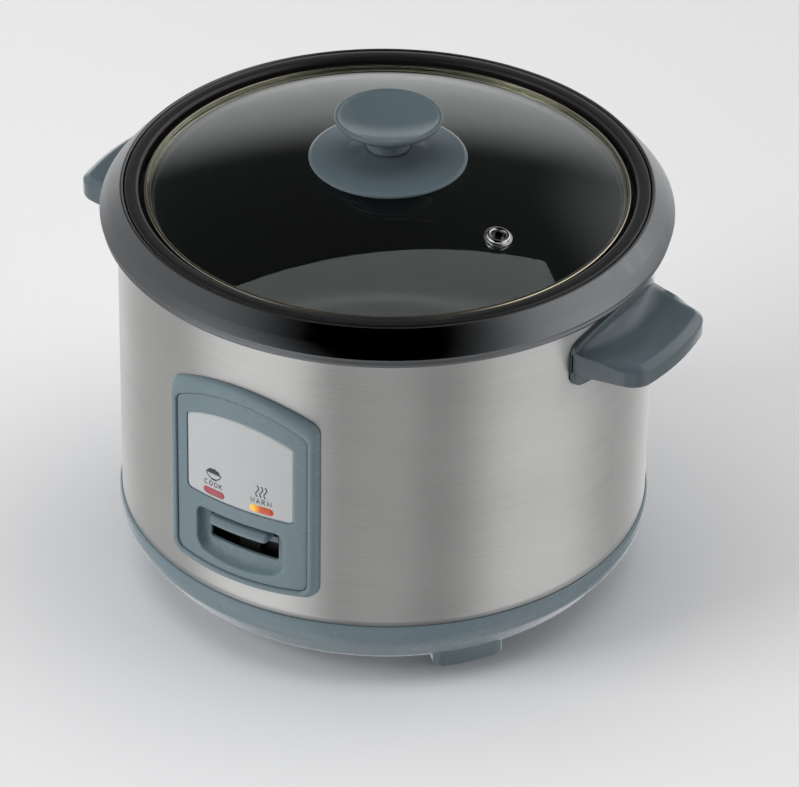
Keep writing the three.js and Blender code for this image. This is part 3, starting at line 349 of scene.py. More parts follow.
def brushed_grain():
    """Long fine scratches: noise stretched along X of the vector, in two widths, with a slow drift."""

    def fill(nodes, entry):
        fine = nodes.noise(nodes.scaled(entry["Vector"], (70, 5200, 5200)), 1, 3, 0.7)
        coarse = nodes.noise(nodes.scaled(entry["Vector"], (14, 1300, 1300)), 1, 2, 0.6)
        cloud = nodes.noise(nodes.scaled(entry["Vector"], (9, 26, 26)), 1, 2, 0.5)
        streak = nodes.math("MULTIPLY_ADD", coarse, 0.5, nodes.math("MULTIPLY", fine, 0.5))
        drift = nodes.math("MULTIPLY", nodes.math("SUBTRACT", cloud, 0.5), 0.16)
        centred = nodes.math("SUBTRACT", streak, 0.5)
        shade = nodes.math("MULTIPLY_ADD", centred, entry["Contrast"], 1.0)
        return {
            "Shade": nodes.math("ADD", shade, drift),
            "Streak": streak,
            "Normal": nodes.bump(streak, entry["Depth"], 0.6),
        }

    inputs = [("Vector", VECTOR, None), ("Contrast", NUMBER, 0.4), ("Depth", NUMBER, 0.00001)]
    outputs = [("Shade", NUMBER), ("Streak", NUMBER), ("Normal", VECTOR)]
    return shader_group("brushed_grain", inputs, outputs, fill)


def moulded_texture():
    """The fine spark-eroded skin of a mould: small rounded bumps of one size, and a wider slow swell."""

    def fill(nodes, entry):
        scale = nodes.math("DIVIDE", 1.0, entry["Size"])
        bumps = nodes.noise(entry["Vector"], scale, 2, 0.55)
        swell = nodes.noise(entry["Vector"], 55, 1, 0.4)
        height = nodes.math("MULTIPLY_ADD", swell, 0.25, bumps)
        return {
            "Speckle": nodes.range(bumps, 0.35, 0.7),
            "Normal": nodes.bump(height, entry["Depth"], 0.7),
        }

    inputs = [("Vector", VECTOR, None), ("Size", NUMBER, 0.0004), ("Depth", NUMBER, 0.00002)]
    return shader_group("moulded_texture", inputs, [("Speckle", NUMBER), ("Normal", VECTOR)], fill)


def handling_marks():
    """Gloss and tone that drift over the surface as on a piece that has been wiped by hand, with a few
    hair scratches: thin bands of two stretched noises."""

    def fill(nodes, entry):
        cloud = nodes.noise(entry["Vector"], 18, 4, 0.6)
        film = nodes.noise(entry["Vector"], 70, 3, 0.5)
        hair = nodes.noise(nodes.scaled(entry["Vector"], (120, 1400, 700)), 1, 2, 0.4)
        off_line = nodes.math("ABSOLUTE", nodes.math("SUBTRACT", hair, 0.5))
        line = nodes.math("SUBTRACT", 1.0, nodes.range(off_line, 0.0, 0.006))
        mask = nodes.range(cloud, 0.5, 0.72)
        scratch = nodes.math("MULTIPLY", line, mask)
        mixed = nodes.math("MULTIPLY_ADD", film, 0.4, nodes.math("MULTIPLY", cloud, 0.6))
        drift = nodes.math("SUBTRACT", mixed, 0.5)
        gloss = nodes.math("MULTIPLY_ADD", drift, entry["Amount"], entry["Roughness"])
        return {
            "Roughness": nodes.math("MULTIPLY_ADD", scratch, 0.03, gloss, clamp=True),
            "Shade": nodes.math("MULTIPLY_ADD", drift, nodes.math("MULTIPLY", entry["Amount"], 0.5), 1.0),
        }

    inputs = [("Vector", VECTOR, None), ("Roughness", NUMBER, 0.3), ("Amount", NUMBER, 0.2)]
    return shader_group("handling_marks", inputs, [("Roughness", NUMBER), ("Shade", NUMBER)], fill)


def edge_rub():
    """Paler convex edges: the part of Geometry's pointiness above its flat value, broken up."""

    def fill(nodes, entry):
        pointed = nodes.add("ShaderNodeNewGeometry").outputs["Pointiness"]
        worn = nodes.range(pointed, 0.53, 0.6)
        patchy = nodes.range(nodes.noise(entry["Vector"], 120, 3, 0.6), 0.3, 0.65)
        mask = nodes.math("MULTIPLY", nodes.math("MULTIPLY", worn, patchy), entry["Amount"])
        return {"Mask": mask}

    inputs = [("Vector", VECTOR, None), ("Amount", NUMBER, 0.5)]
    return shader_group("edge_rub", inputs, [("Mask", NUMBER)], fill)


GROUPS = {}


def group(name):
    """One shared node group, built the first time that a material asks for it."""
    if name not in GROUPS:
        makers = (brushed_grain, moulded_texture, handling_marks, edge_rub)
        GROUPS[name] = {maker.__name__: maker for maker in makers}[name]()
    return GROUPS[name]


# ---- Materials ----------------------------------------------------------------------------------
FINISHES = {}


def linear(colour):
    """A colour as seen on a screen (0 to 1), turned into the linear one that a shader takes."""
    c = np.array(colour[:3], float)
    return (*np.where(c <= 0.04045, c / 12.92, ((c + 0.055) / 1.055) ** 2.4), 1.0)


class Finish(Nodes):
    """A material's tree with its Principled shader, coordinates and shared groups."""

    def __init__(self, name, **constants):
        self.material = bpy.data.materials.new(name)
        self.material.use_nodes = True
        super().__init__(self.material.node_tree)
        self.shader = self.tree.nodes["Principled BSDF"]
        coordinates = self.add("ShaderNodeTexCoord")
        self.place = coordinates.outputs["Object"]
        self.uv = coordinates.outputs["UV"]
        for key, value in constants.items():
            self.shader.inputs[key.replace("_", " ")].default_value = value
        FINISHES[name] = self.material

    def group(self, name, **inputs):
        node = self.add("ShaderNodeGroup", node_tree=group(name))
        for key, value in inputs.items():
            if isinstance(value, bpy.types.NodeSocket):
                self.tree.links.new(value, node.inputs[key])
            else:
                node.inputs[key].default_value = value
        return node.outputs

    def wire(self, **sockets):
        for key, value in sockets.items():
            self.tree.links.new(value, self.shader.inputs[key.replace("_", " ")])


def moulded_plastic(name, colour, roughness, grain=0.0004, depth=0.000012, marks=0.1, rub=0.16, **constants):
    """A moulded piece: one colour with a slow drift, a fine skin, handling marks and paler edges."""
    tree = Finish(name, **constants)
    skin = tree.group("moulded_texture", Vector=tree.place, Size=grain, Depth=depth)
    marked = tree.group("handling_marks", Vector=tree.place, Roughness=roughness, Amount=marks)
    edges = tree.group("edge_rub", Vector=tree.place, Amount=rub)
    base = linear(colour)
    pale = tuple(min(1, c * 1.5 + 0.02) for c in base[:3]) + (1.0,)
    toned = tree.tint(base, marked["Shade"])
    tree.wire(
        Base_Color=tree.blend(edges["Mask"], toned, pale),
        Roughness=marked["Roughness"],
        Normal=skin["Normal"],
    )
    return tree


def brushed_metal(name, colour, roughness, contrast, depth, anisotropy=0.85, upright=0.25, **constants):
    """Sheet metal brushed round the body: streaks along the surface's own U, and highlights that spread
    across the grain."""
    tree = Finish(name, Metallic=1.0, Anisotropic=anisotropy, Anisotropic_Rotation=upright, **constants)
    grain = tree.group("brushed_grain", Vector=tree.uv, Contrast=contrast, Depth=depth)
    marked = tree.group("handling_marks", Vector=tree.place, Roughness=roughness, Amount=0.1)
    shade = tree.math("MULTIPLY", grain["Shade"], marked["Shade"])
    around = tree.add("ShaderNodeTangent", direction_type="RADIAL", axis="Z").outputs[0]
    tree.wire(
        Base_Color=tree.tint(linear(colour), shade),
        Roughness=tree.math("MULTIPLY_ADD", grain["Streak"], 0.12, marked["Roughness"]),
        Normal=grain["Normal"],
        Tangent=around,
    )
    return tree


def plain_metal(name, colour, roughness, marks=0.18, grain=None):
    """Polished or rolled metal with a drifting gloss; grain adds a fine skin of that size."""
    tree = Finish(name, Metallic=1.0)
    marked = tree.group("handling_marks", Vector=tree.place, Roughness=roughness, Amount=marks)
    tree.wire(Base_Color=tree.tint(linear(colour), marked["Shade"]), Roughness=marked["Roughness"])
    if grain:
        skin = tree.group("moulded_texture", Vector=tree.place, Size=grain, Depth=0.00003)
        tree.wire(Normal=skin["Normal"])
    return tree


def coated_metal(name, colour, fleck, roughness, grain, depth, **constants):
    """A dark coat with scattered paler flecks and a fine orange-peel skin."""
    tree = Finish(name, Specular_IOR_Level=0.5, **constants)
    skin = tree.group("moulded_texture", Vector=tree.place, Size=grain, Depth=depth)
    marked = tree.group("handling_marks", Vector=tree.place, Roughness=roughness, Amount=0.1)
    edges = tree.group("edge_rub", Vector=tree.place, Amount=0.3)
    dots = tree.range(tree.noise(tree.place, 1500, 1, 0.5), 0.66, 0.74)
    toned = tree.blend(dots, tree.tint(linear(colour), marked["Shade"]), linear(fleck))
    tree.wire(
        Base_Color=tree.blend(edges["Mask"], toned, linear(fleck)),
        Roughness=marked["Roughness"],
        Normal=skin["Normal"],
    )
    return tree


def clear_glass(name, colour):
    """Tempered glass; shadow rays pass it as a faint tint, so that the pot under it is lit."""
    tree = Finish(name, Transmission_Weight=1.0, IOR=1.5, Metallic=0.0)
    tree.shader.inputs["Base Color"].default_value = linear(colour)
    film = tree.noise(tree.place, 14, 3, 0.5)
    tree.wire(Roughness=tree.range(film, 0.45, 0.8, 0.0, 0.035))
    clear = tree.add("ShaderNodeBsdfTransparent", {"Color": linear(colour)})
    path = tree.add("ShaderNodeLightPath")
    mixed = tree.add("ShaderNodeMixShader", {0: path.outputs["Is Shadow Ray"]})
    tree.tree.links.new(tree.shader.outputs[0], mixed.inputs[1])
    tree.tree.links.new(clear.outputs[0], mixed.inputs[2])
    output = next(n for n in tree.tree.nodes if n.type == "OUTPUT_MATERIAL")
    tree.tree.links.new(mixed.outputs[0], output.inputs["Surface"])
    return tree


def lamp_lens(name, colour, glow, strength):
    """A tinted lens whose light is strongest over its lamp, at one end of the lens."""
    tree = Finish(name, Roughness=0.18, Coat_Weight=0.6, Coat_Roughness=0.08)
    marked = tree.group("handling_marks", Vector=tree.place, Roughness=0.16, Amount=0.15)
    skin = tree.group("moulded_texture", Vector=tree.place, Size=0.0009, Depth=0.00002)
    tree.wire(
        Base_Color=tree.tint(linear(colour), marked["Shade"]),
        Roughness=marked["Roughness"],
        Normal=skin["Normal"],
    )
    if strength:
        across = tree.add("ShaderNodeSeparateXYZ", {0: tree.place}).outputs[0]
        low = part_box("warm_lens")[0]
        hot = tree.range(across, low.x + 0.0072, low.x + 0.0016)
        far = linear(tuple(c * 0.62 for c in colour))
        tree.wire(Emission_Color=tree.blend(hot, far, linear(glow)))
        tree.shader.inputs["Emission Strength"].default_value = strength
    return tree


def make_finishes():
    """Every material of the cooker, with its colours from the panel's settings."""
    colours = bpy.context.scene.cooker_colours
    grey = tuple(colours.plastic)
    # Handles and knob: the same plastic, glossier, with its colour made 0.76 as bright as painted shade for
    # their darker tops.
    gloss = tuple(c * 0.76 for c in grey)
    moulded_plastic("grey_gloss_shaded", gloss, 0.17, 0.0009, 0.000003, marks=0.1, rub=0.2)
    moulded_plastic("grey_satin", grey, 0.27, 0.00045, 0.000008)
    # Black plastic of the inlet, switch and leads; also put on the steel lever arm as painted shade in the
    # slot.
    moulded_plastic("black_satin_and_slot_shade", (0.1, 0.1, 0.105), 0.45)
    moulded_plastic("white_ceramic", (0.88, 0.86, 0.81), 0.6, 0.0003, 0.00003)
    moulded_plastic("seal_rubber", (0.12, 0.12, 0.12), 0.7, 0.0003, 0.00003)
    moulded_plastic("board_laminate", (0.52, 0.42, 0.22), 0.55, 0.0008, 0.00002)
    moulded_plastic("label_grey", tuple(colours.label), 0.42, 0.0003, 0.000004, marks=0.08, rub=0.1)
    moulded_plastic("print_dark", (0.2, 0.22, 0.25), 0.5, 0.0003, 0.000004, rub=0)
    fleck = (0.55, 0.555, 0.56)
    coated_metal("ring_charcoal", tuple(colours.ring), fleck, 0.34, 0.00055, 0.00003, Metallic=1.0)
    coated_metal("pot_coating", (0.1, 0.102, 0.105), (0.24, 0.24, 0.24), 0.36, 0.0005, 0.000006)
    brushed_metal("brushed_steel", tuple(colours.steel), 0.34, 0.5, 0.000012)
    brushed_metal("turned_aluminium", (0.84, 0.85, 0.86), 0.3, 0.35, 0.00002, anisotropy=0.6, upright=0.0)
    plain_metal("rim_steel", (0.84, 0.8, 0.72), 0.2)
    plain_metal("bright_steel", (0.8, 0.8, 0.79), 0.14)
    plain_metal("sheet_steel", (0.68, 0.69, 0.7), 0.38, 0.25, 0.0008)
    plain_metal("pin_brass", (0.82, 0.68, 0.38), 0.28)
    plain_metal("dark_ferrite", (0.28, 0.28, 0.29), 0.5, 0.25, 0.0005)
    clear_glass("lid_clear", (0.93, 0.965, 0.95))
    lamp_lens("lens_red", (0.66, 0.27, 0.31), (0.8, 0.3, 0.3), 0)
    lamp_lens("lens_amber", (0.72, 0.25, 0.05), (1.0, 0.84, 0.2), 0.75)


def dress(made, finish):
    """Gives an object its one material."""
    made.data.materials.clear()
    made.data.materials.append(FINISHES[finish])


# ---- Body ---------------------------------------------------------------------------------------
def make_shell():
    """The steel drum: a cylinder, open behind the control panel and the power inlet."""
    low, high = span("outer_shell")
    radius = high[1]
    panel_low, panel_high = span("control_fascia")
    inlet_low, inlet_high = span("power_inlet")
    margin = 6

    def window(middle):
        across, y, up = middle.T
        front = (y < 0) & (np.abs(across) < panel_high[0] - margin)
        front &= (up > panel_low[2] + 3) & (up < panel_high[2] - 2 * margin)
        rear = (y > 0) & (np.abs(across) < inlet_high[0] - 3)
        return front | (rear & (up > inlet_low[2] + 3) & (up < inlet_high[2] - 3))

    heights = np.unique(
        np.concatenate(
            [
                np.linspace(low[2], high[2], 40),
                [panel_low[2] + 3, panel_high[2] - 2 * margin, inlet_low[2] + 3, inlet_high[2] - 3],
            ]
        )
    )
    profile = np.column_stack([np.full(len(heights), radius), heights])
    grid = turned_grid(profile, 240)
    return piece("steel_drum", [patch(grid, skip=window)], "outer_shell", "brushed_steel", wall=0.8)


def make_top_ring():
    """The coned plastic ring: a sloping face, a rolled lower lip with a groove, and a crest at the pot."""
    low, high = span("top_ring")
    radius, bottom, top = high[1], low[2], high[2]
    mouth = span("inner_pot")[1][1] + 0.5
    bore = mouth - 5.7
    shell = span("outer_shell")[1][1] + 0.6
    ledge = top - 5.2
    corners = [
        (bore, bottom + 2),
        (shell, bottom + 2),
        (shell, bottom, 0.2),
        (radius - 2.6, bottom, 1.6),
        (radius - 0.9, bottom + 1.8, 1.2),
        (radius - 1.7, bottom + 3.7, 0.5),
        (radius, bottom + 5, 0.9),
        (radius - 4.2, bottom + 10.3, 9),
        (mouth + 1.7, top - 0.35, 0.8),
        (mouth + 0.9, top, 0.4),
        (mouth, top - 0.5, 0.3),
        (mouth, ledge),
        (bore, ledge),
    ]
    return turned("top_ring_shell", corners, "top_ring", "ring_charcoal", 240)


def make_base():
    """The plastic base: a bowl-shaped skirt with a small step under the steel and a flange for the feet."""
    low, high = span("base_ring")
    radius, bottom, top = high[1], low[2], span("outer_shell")[0][2] - 0.3
    floor = radius - 11.7
    flange = span("foot_front_right")[1][0] - 1
    corners = [
        (flange, bottom, 0.6),
        (floor - 2, bottom, 1.5),
        (floor + 0.6, bottom + 2.4, 2),
        (radius - 1.2, bottom + 15.5, 14),
        (radius, top - 6.5, 3),
        (radius, top - 1.6, 0.5),
        (radius - 0.7, top, 0.5),
        (radius - 2.6, top),
        (radius - 2.6, high[2], 0.5),
        (radius - 5.1, high[2], 0.5),
        (radius - 5.1, top - 8, 2),
        (floor - 2.5, bottom + 2.5, 1),
        (flange, bottom + 2.5, 0.6),
    ]
    return turned("base_skirt", corners, "base_ring", "grey_satin", 240)


def make_foot(node, angle):
    """A curved foot: loops of an outline bent round the body's axis, with a rolled lower edge."""
    low, high = span(node)
    distance = np.linalg.norm((low[:2] + high[:2]) / 2)
    half_angle, depth, height = math.radians(9.3), 14, span("base_ring")[0][2] - 0.3
    half = half_angle * distance

    def loop(inset, up):
        flat = outline(half, -depth / 2, depth / 2, corners=(5, 5), inset=inset)
        turn = flat[:, 0] / distance
        r = distance + flat[:, 1]
        return np.column_stack([r * np.sin(turn), -r * np.cos(turn), np.full(len(turn), up)])

    roll = arc((1.4, 1.4), 1.4, -math.pi / 2, -math.pi, 6)
    loops = [loop(inset, up) for inset, up in roll]
    sole = shrunk(loops[0], (0, 0.5))
    top = loop(0, height)
    grid = np.stack([*sole, *loops, top, *shrunk(top, (0.5, 0))])
    grid = turned_about_z(grid, angle)
    return piece(f"{node}_block", [patch(grid)], node, "grey_satin")


FOOT_ANGLE = 54
FEET = {
    "foot_front_right": FOOT_ANGLE,
    "foot_rear_right": 180 - FOOT_ANGLE,
    "foot_rear_left": 180 + FOOT_ANGLE,
    "foot_front_left": -FOOT_ANGLE,
}


# ---- Pot, chamber and heater --------------------------------------------------------------------
def make_pot():
    """The lift-out pot: a deep pan with a seat for the lid and a rolled bead at its rim."""
    low, high = span("inner_pot")
    rim, bottom, top = high[1], low[2], high[2]
    wall = 1.5
    seat = span("lid_rim")[0][2] - 1.9
    lid = span("lid_rim")[1][1]
    bead = rim - 7.2
    side = lid - 6
    corners = [
        (0, bottom),
        (side + wall, bottom, 16),
        (side + wall, seat - 2.6, 1.5),
        (bead - wall, seat, 1),
        (bead + wall, seat + 1.6, 0.8),
        (bead + wall, top - 5.2, 0.6),
        (rim, top - 5.2, 0.5),
        (rim, top - 0.4, 2.2),
        (rim - 2.8, top, 2),
        (bead, top, 2.4),
        (bead, seat + 1.8, 1.2),
        (lid - 3, seat, 0.8),
        (side, seat, 1.6),
        (side, bottom + wall, 14),
        (0, bottom + wall),
    ]
    return turned("pot_body", corners, "inner_pot", "pot_coating", 240, closed=False, steps=9)


def make_level_marks():
    """Raised level lines on the pot's wall: short rounded ribs, longer at every second level."""
    first_mark, pitch, half_height, seat = 34, 14, 0.45, 6
    bottom = span("inner_pot")[0][2]
    side = span("lid_rim")[1][1] - seat
    section = [(-0.4, 0.0), (0.25, 0.0), (0.35, 0.15), (0.35, 0.3)]
    for row in range(6):
        up = bottom + first_mark + pitch * row
        half = 15 if row % 2 else 9
        ends = {"low": up - half_height, "high": up + half_height, "corners": (0.44, 0.44)}
        flat = outline(half, **ends)
        loops = [on_front(outline(half, inset=inset, **ends), side - proud) for proud, inset in section]
        middle = on_front(flat.mean(axis=0)[None] + 0 * flat, side - 0.35)
        grid = turned_about_z(np.stack([*loops, middle]), 205)
        outward = [patch(grid, behind=grid[0].mean(axis=0) * 1.05)]
        piece(f"level_mark_{row + 1}", outward, "inner_pot", "pot_coating", replaces=False)


def make_chamber():
    """The pressed chamber that the pot hangs in, with a hole in its floor for the thermostat."""
    low, high = span("inner_liner")
    flange, bottom, top = high[1], low[2], high[2]
    outer = span("keep_warm_band")[1][1] - 1.8
    wall = 0.8
    corners = [
        (34, bottom),
        (outer, bottom, 16),
        (outer, top - wall, 1.2),
        (flange, top - wall),
        (flange, top),
        (outer - wall, top, 2),
        (outer - wall, bottom + wall, 15),
        (34, bottom + wall),
    ]
    turned("chamber_wall", corners, "inner_liner", "sheet_steel", steps=8)


def make_heater():
    """The cast heating plate with its rounded shoulder, and the domed cap of the thermostat."""
    low, high = span("heating_plate")
    radius, bottom, top = high[1], low[2], high[2]
    bore = 17
    turned(
        "heater_disc",
        [
            (bore, bottom, 0.5),
            (radius - 1.2, bottom, 1),
            (radius, bottom + 1.5, 1),
            (radius, top - 0.6, 5),
            (radius - 7, top, 4),
            (bore, top, 1.2),
        ],
        "heating_plate",
        "turned_aluminium",
    )
    low, high = span("thermostat_cap")
    flange, bottom, top = high[0], low[2], high[2]
    side = 14
    turned(
        "sensor_cap",
        [
            (0, top),
            (side, top, 1.4),
            (side, bottom + 1, 0.4),
            (flange, bottom + 1, 0.3),
            (flange, bottom, 0.3),
            (side - 1, bottom, 0.3),
            (side - 1, top - 1, 0.8),
            (0, top - 1),
        ],
        "thermostat_cap",
        "turned_aluminium",
        120,
        closed=False,
    )


# ---- Lid ----------------------------------------------------------------------------------------
GLASS = 3.0


def dome(radius):
    """Height of the glass's outer face: a sphere through its middle and its top edge."""
    low, high = span("lid_glass")
    edge, rise = high[1], high[2] - low[2] - GLASS
    sphere = (edge**2 + rise**2) / (2 * rise)
    return high[2] - sphere + np.sqrt(sphere**2 - np.square(radius))


def make_glass():
    """The glass: the dome's cap, the same cap a glass thickness lower, and a ground round edge."""
    edge = span("lid_glass")[1][1]
    bore = 2.8
    radii = np.linspace(bore, edge - 1, 60)
    top = np.column_stack([radii, dome(radii)])
    under = (top - (0, GLASS))[::-1]
    tip = arc((edge - 1.4, dome(edge - 1) - GLASS / 2), GLASS / 2 - 0.1, math.pi / 2, -math.pi / 2, 10)
    profile = np.concatenate([top, tip, under])
    piece("glass_dome", [patch(turned_grid(profile, 240), wrap_rows=True)], "lid_glass", "lid_clear")


def make_lid_rim():
    """The steel band round the glass: a rolled top lip, an upright wall and a shelf under the glass."""
    low, high = span("lid_rim")
    radius, bottom = high[1], low[2]
    lip, shelf, wall, top = radius - 1.9, radius - 4.2, 0.7, low[2] + 4.9
    corners = [
        (shelf, bottom, 0.2),
        (radius, bottom, 0.7),
        (radius, top, 1.1),
        (lip, dome(lip) + 1.0, 0.25),
        (lip, dome(lip) + 0.3, 0.1),
        (radius - wall, top - wall + 0.1, 0.3),
        (radius - wall, bottom + 0.6, 0.1),
        (shelf, bottom + 0.6, 0.2),
    ]
    turned("rim_band", corners, "lid_rim", "rim_steel", 240)


def make_knob():
    """The knob: a thin saucer on the glass, a waisted neck and a dished head with a double rim."""
    low, high = span("knob_disc")
    radius, top = high[1], high[2]
    bore, neck = 2.6, 10.7
    radii = np.linspace(bore, radius - 1, 12)
    under = np.column_stack([radii, dome(radii) + 0.3])
    edge = dome(radius) + 0.3
    upper = rounded(
        [
            (radius - 0.9, edge + 0.1),
            (radius, edge + 0.3, 0.5),
            (radius, edge + 1.5, 0.6),
            (radius - 1.6, edge + 2.2, 1.2),
            (neck + 9, top - 2.0, 20),
            (neck + 1.2, top, 1.5),
            (bore, top),
        ],
        closed=False,
    )
    profile = np.concatenate([under, upper])
    piece("knob_saucer", [patch(turned_grid(profile, 160), wrap_rows=True)], "knob_disc", "grey_gloss_shaded")
    low, high = span("lid_knob")
    bottom, top = low[2], high[2]
    radius = 26.6
    corners = [
        (0, bottom + 7),
        (bore, bottom + 7),
        (bore, bottom),
        (neck, bottom, 0.6),
        (neck - 0.9, bottom + 4.5, 5),
        (neck + 0.4, bottom + 8.6, 2.2),
        (radius - 4.4, top - 4.9, 9),
        (radius - 1.6, top - 3.6, 0.5),
        (radius - 1.3, top - 2.6, 0.5),
        (radius, top - 2.0, 0.7),
        (radius - 0.2, top - 0.1, 1.0),
        (radius - 1.9, top - 0.1, 0.6),
    ]
    # The dish is a sphere's cap, drawn from its edge to its middle.
    across = np.linspace(radius - 2.3, 0, 22)[:, None]
    dish = np.hstack([across, top - 5 + 4.5 * (across / across[0]) ** 2])
    corners += [tuple(point) for point in dish]
    turned("knob_head", corners, "lid_knob", "grey_gloss_shaded", 160, closed=False, steps=8, smooth=50)


def make_vent():
    """The steam vent: a rolled eyelet, turned about its own axis and leaned with the dome."""
    low, high = span("steam_vent")
    centre = (low + high)[:2] / 2
    distance = np.linalg.norm(centre)
    hole, tube, flange = 3.6, 4.2, 7.0
    corners = [
        (hole, -4.8, 0.2),
        (tube + 1.6, -4.8, 0.3),
        (tube + 1.6, -3.8, 0.3),
        (tube, -3.8, 0.1),
        (tube, 0.5, 0.1),
        (flange, 0.4, 0.3),
        (flange, 1.2, 0.4),
        (flange - 0.9, 1.3, 0.4),
        (flange - 1.5, 2.6, 0.9),
        (hole + 0.3, 2.6, 1.1),
        (hole, 1.0, 0.6),
    ]
    grid = turned_grid(rounded(corners), 96)
    edge, rise = span("lid_glass")[1][1], np.ptp([c[2] for c in span("lid_glass")]) - GLASS
    lean = math.asin(distance / ((edge**2 + rise**2) / (2 * rise)))
    direction = math.degrees(math.atan2(centre[0], -centre[1]))
    grid = grid @ np.array(Matrix.Rotation(lean, 3, "X")).T
    grid = turned_about_z(grid, direction) + (*centre, dome(distance))
    eyelet = patch(grid, wrap_rows=True, behind=middle_of(grid))
    piece("vent_eyelet", [eyelet], "steam_vent", "bright_steel")


def screw_head(name, node, radius, height, finish, upside_down):
    """A pan head with a cross recess: its height falls by the recess's depth where |x| or |y| is less
    than half a slot wide and the distance from the axis is less than the recess's reach."""
    low, high = span(node)
    centre = (low + high) / 2
    distance = np.linspace(0, 1, 40)[:, None]
    angle = np.arange(96) / 96 * FULL_TURN
    x, y = radius * distance * np.cos(angle), radius * distance * np.sin(angle)
    crown = height * (1 - 0.75 * distance**4) * np.ones_like(x)
    arm = np.minimum(np.abs(x), np.abs(y))
    reach = np.maximum(np.abs(x), np.abs(y))
    slot = np.clip((0.16 * radius - arm) / 0.12, 0, 1) * np.clip((0.55 * radius - reach) / 0.3, 0, 1)
    top = np.stack([x, y, crown - 0.55 * height * slot], -1)
    rim = top[-1:] * (1, 1, 0)
    grid = np.concatenate([top, rim, rim * 0])
    face = low[2] + height
    if upside_down:
        grid = grid * (1, -1, -1)
    grid = grid + (centre[0], centre[1], face)
    middle = middle_of(grid)
    piece(name, [patch(grid, behind=middle)], node, finish, replaces=False)


# ---- Control panel ------------------------------------------------------------------------------
def panel_sizes():
    """The control panel's outer and inner outlines and radii, from the frame's pieces."""
    outer_low, outer_high = span("control_bezel")
    inner_low, inner_high = span("control_fascia")
    return {
        "outer": (outer_high[0], outer_low[2], outer_high[2]),
        "inner": (inner_high[0] + 0.3, inner_low[2] - 0.3, inner_high[2] + 0.3),
        "shell": span("outer_shell")[1][1] + 0.35,
        "proud": -outer_low[1],
        "face": -inner_low[1],
    }


def bezel_outline(inset=0):
    half, low, high = panel_sizes()["outer"]
    return outline(half, low + 2.2, high - 12, bows=(2.2, 12), corners=(7, 8), inset=inset)


def fascia_outline(inset=0, low=None, high=None):
    """The fascia's outline, or the part of it above low or below high."""
    half, bottom, top = panel_sizes()["inner"]
    if low is not None:
        return outline(half, low, top - 11.6, bows=(0, 11.6), corners=(0, 5), inset=inset, kept="low")
    if high is not None:
        return outline(half, bottom + 2, high, bows=(2, 0), corners=(5, 0), inset=inset, kept="high")
    return outline(half, bottom + 2, top - 11.6, bows=(2, 11.6), corners=(5, 5), inset=inset)


def label_outline(inset=0):
    low, high = span("label_plate")
    return outline(high[0] + 0.3, low[2] - 0.3, high[2] - 7.2, bows=(0, 7.5), corners=(3, 2.5), inset=inset)


def make_bezel():
    """The raised frame: two quarter ellipses back to back, carried between the panel's outer and inner
    outlines; the first rises from the steel to the crest and the second falls to the seam."""
    sizes = panel_sizes()
    width, crest = 4.68, 2.7
    foot, seam = sizes["shell"] + 0.2, sizes["face"] + 0.1
    rise = arc((0, 0), 1, math.pi, math.pi / 2, 9) * (crest, sizes["proud"] - foot) + (crest, foot)
    fall = arc((0, 0), 1, math.pi / 2, 0, 8) * (width - crest, sizes["proud"] - seam) + (crest, seam)
    ends = [(width, sizes["shell"]), (0, sizes["shell"])]
    section = np.concatenate([rise, fall[1:], ends])
    outer, inner = bezel_outline(), fascia_outline(0.02)
    loops = [on_front(outer + (inner - outer) * s / width, min(r, sizes["proud"])) for s, r in section]
    grid = np.stack(loops)
    piece("panel_frame", [patch(grid, wrap_rows=True)], "control_bezel", "grey_satin")


def edge_rows(make, radius, size, turned_in):
    """Loops that roll over an edge of the given size: inwards from an outer edge, or down into a hole."""
    roll = arc((size, radius - size), size, math.pi, math.pi / 2, 4)
    rows = [on_front(make(inset if turned_in else -inset), r) for inset, r in roll]
    return rows if turned_in else rows[::-1]


RECESS = 6.0


def make_fascia():
    """The flush inner panel: two skins that meet between the label and the recess. Each runs from the
    outer edge over the face to its opening; the lower one goes on down a scooped wall to the slot."""
    sizes = panel_sizes()
    face, split = sizes["face"], 91.0
    back = face - 2.0

    def skin(outer, hole, hole_edge):
        rim = outer(0.3)
        start = [on_front(rim, back), *edge_rows(lambda i: outer(0.3 + i), face, 0.45, True)]
        flat = between(outer(0.75), hole(-hole_edge), 5)
        return start, [on_front(loop, face) for loop in flat]

    upper_start, upper_flat = skin(lambda i: fascia_outline(i, low=split), label_outline, 0.35)
    upper = [*upper_start, *upper_flat, *edge_rows(label_outline, face, 0.35, False)]
    upper.append(on_front(label_outline(), face - 1.6))

    recess_half, recess_low, recess_high = 24.6, 63.6, 87.0
    slot_half, slot_low, slot_high = 19.7, 67.6, 85.4

    def recess(inset=0):
        return outline(recess_half, recess_low, recess_high, bows=(4, 0), corners=(8, 4), inset=inset)

    floor = outline(21.4, 67.4, 86.2, bows=(2.6, 0), corners=(6, 2.4))
    depth = face - RECESS

    def slot(inset=0):
        return outline(slot_half, slot_low, slot_high, corners=(1.5, 1.5), inset=inset)

    lower_start, lower_flat = skin(lambda i: fascia_outline(i, high=split), recess, 1.3)
    # The wall goes down steeply, then turns out to the floor as a quarter ellipse.
    wall = arc((1, 0), 1, math.pi, 1.5 * math.pi, 9)[2:] * (1, -RECESS)
    scoop = [on_front(recess() + (floor - recess()) * s, face - d) for s, d in wall]
    ledge = [on_front(loop, depth) for loop in between(floor, slot(-0.25), 2)]
    lower = [
        *lower_start,
        *lower_flat,
        *edge_rows(recess, face, 1.3, False),
        *scoop,
        *ledge,
        *edge_rows(slot, depth, 0.25, False),
        on_front(slot(), depth - 1.6),
    ]
    behind = (0, 0, split)
    skins = [patch(np.stack(rows), behind=behind) for rows in (upper, lower)]
    piece("panel_face", skins, "control_fascia", "grey_satin", smooth=50)


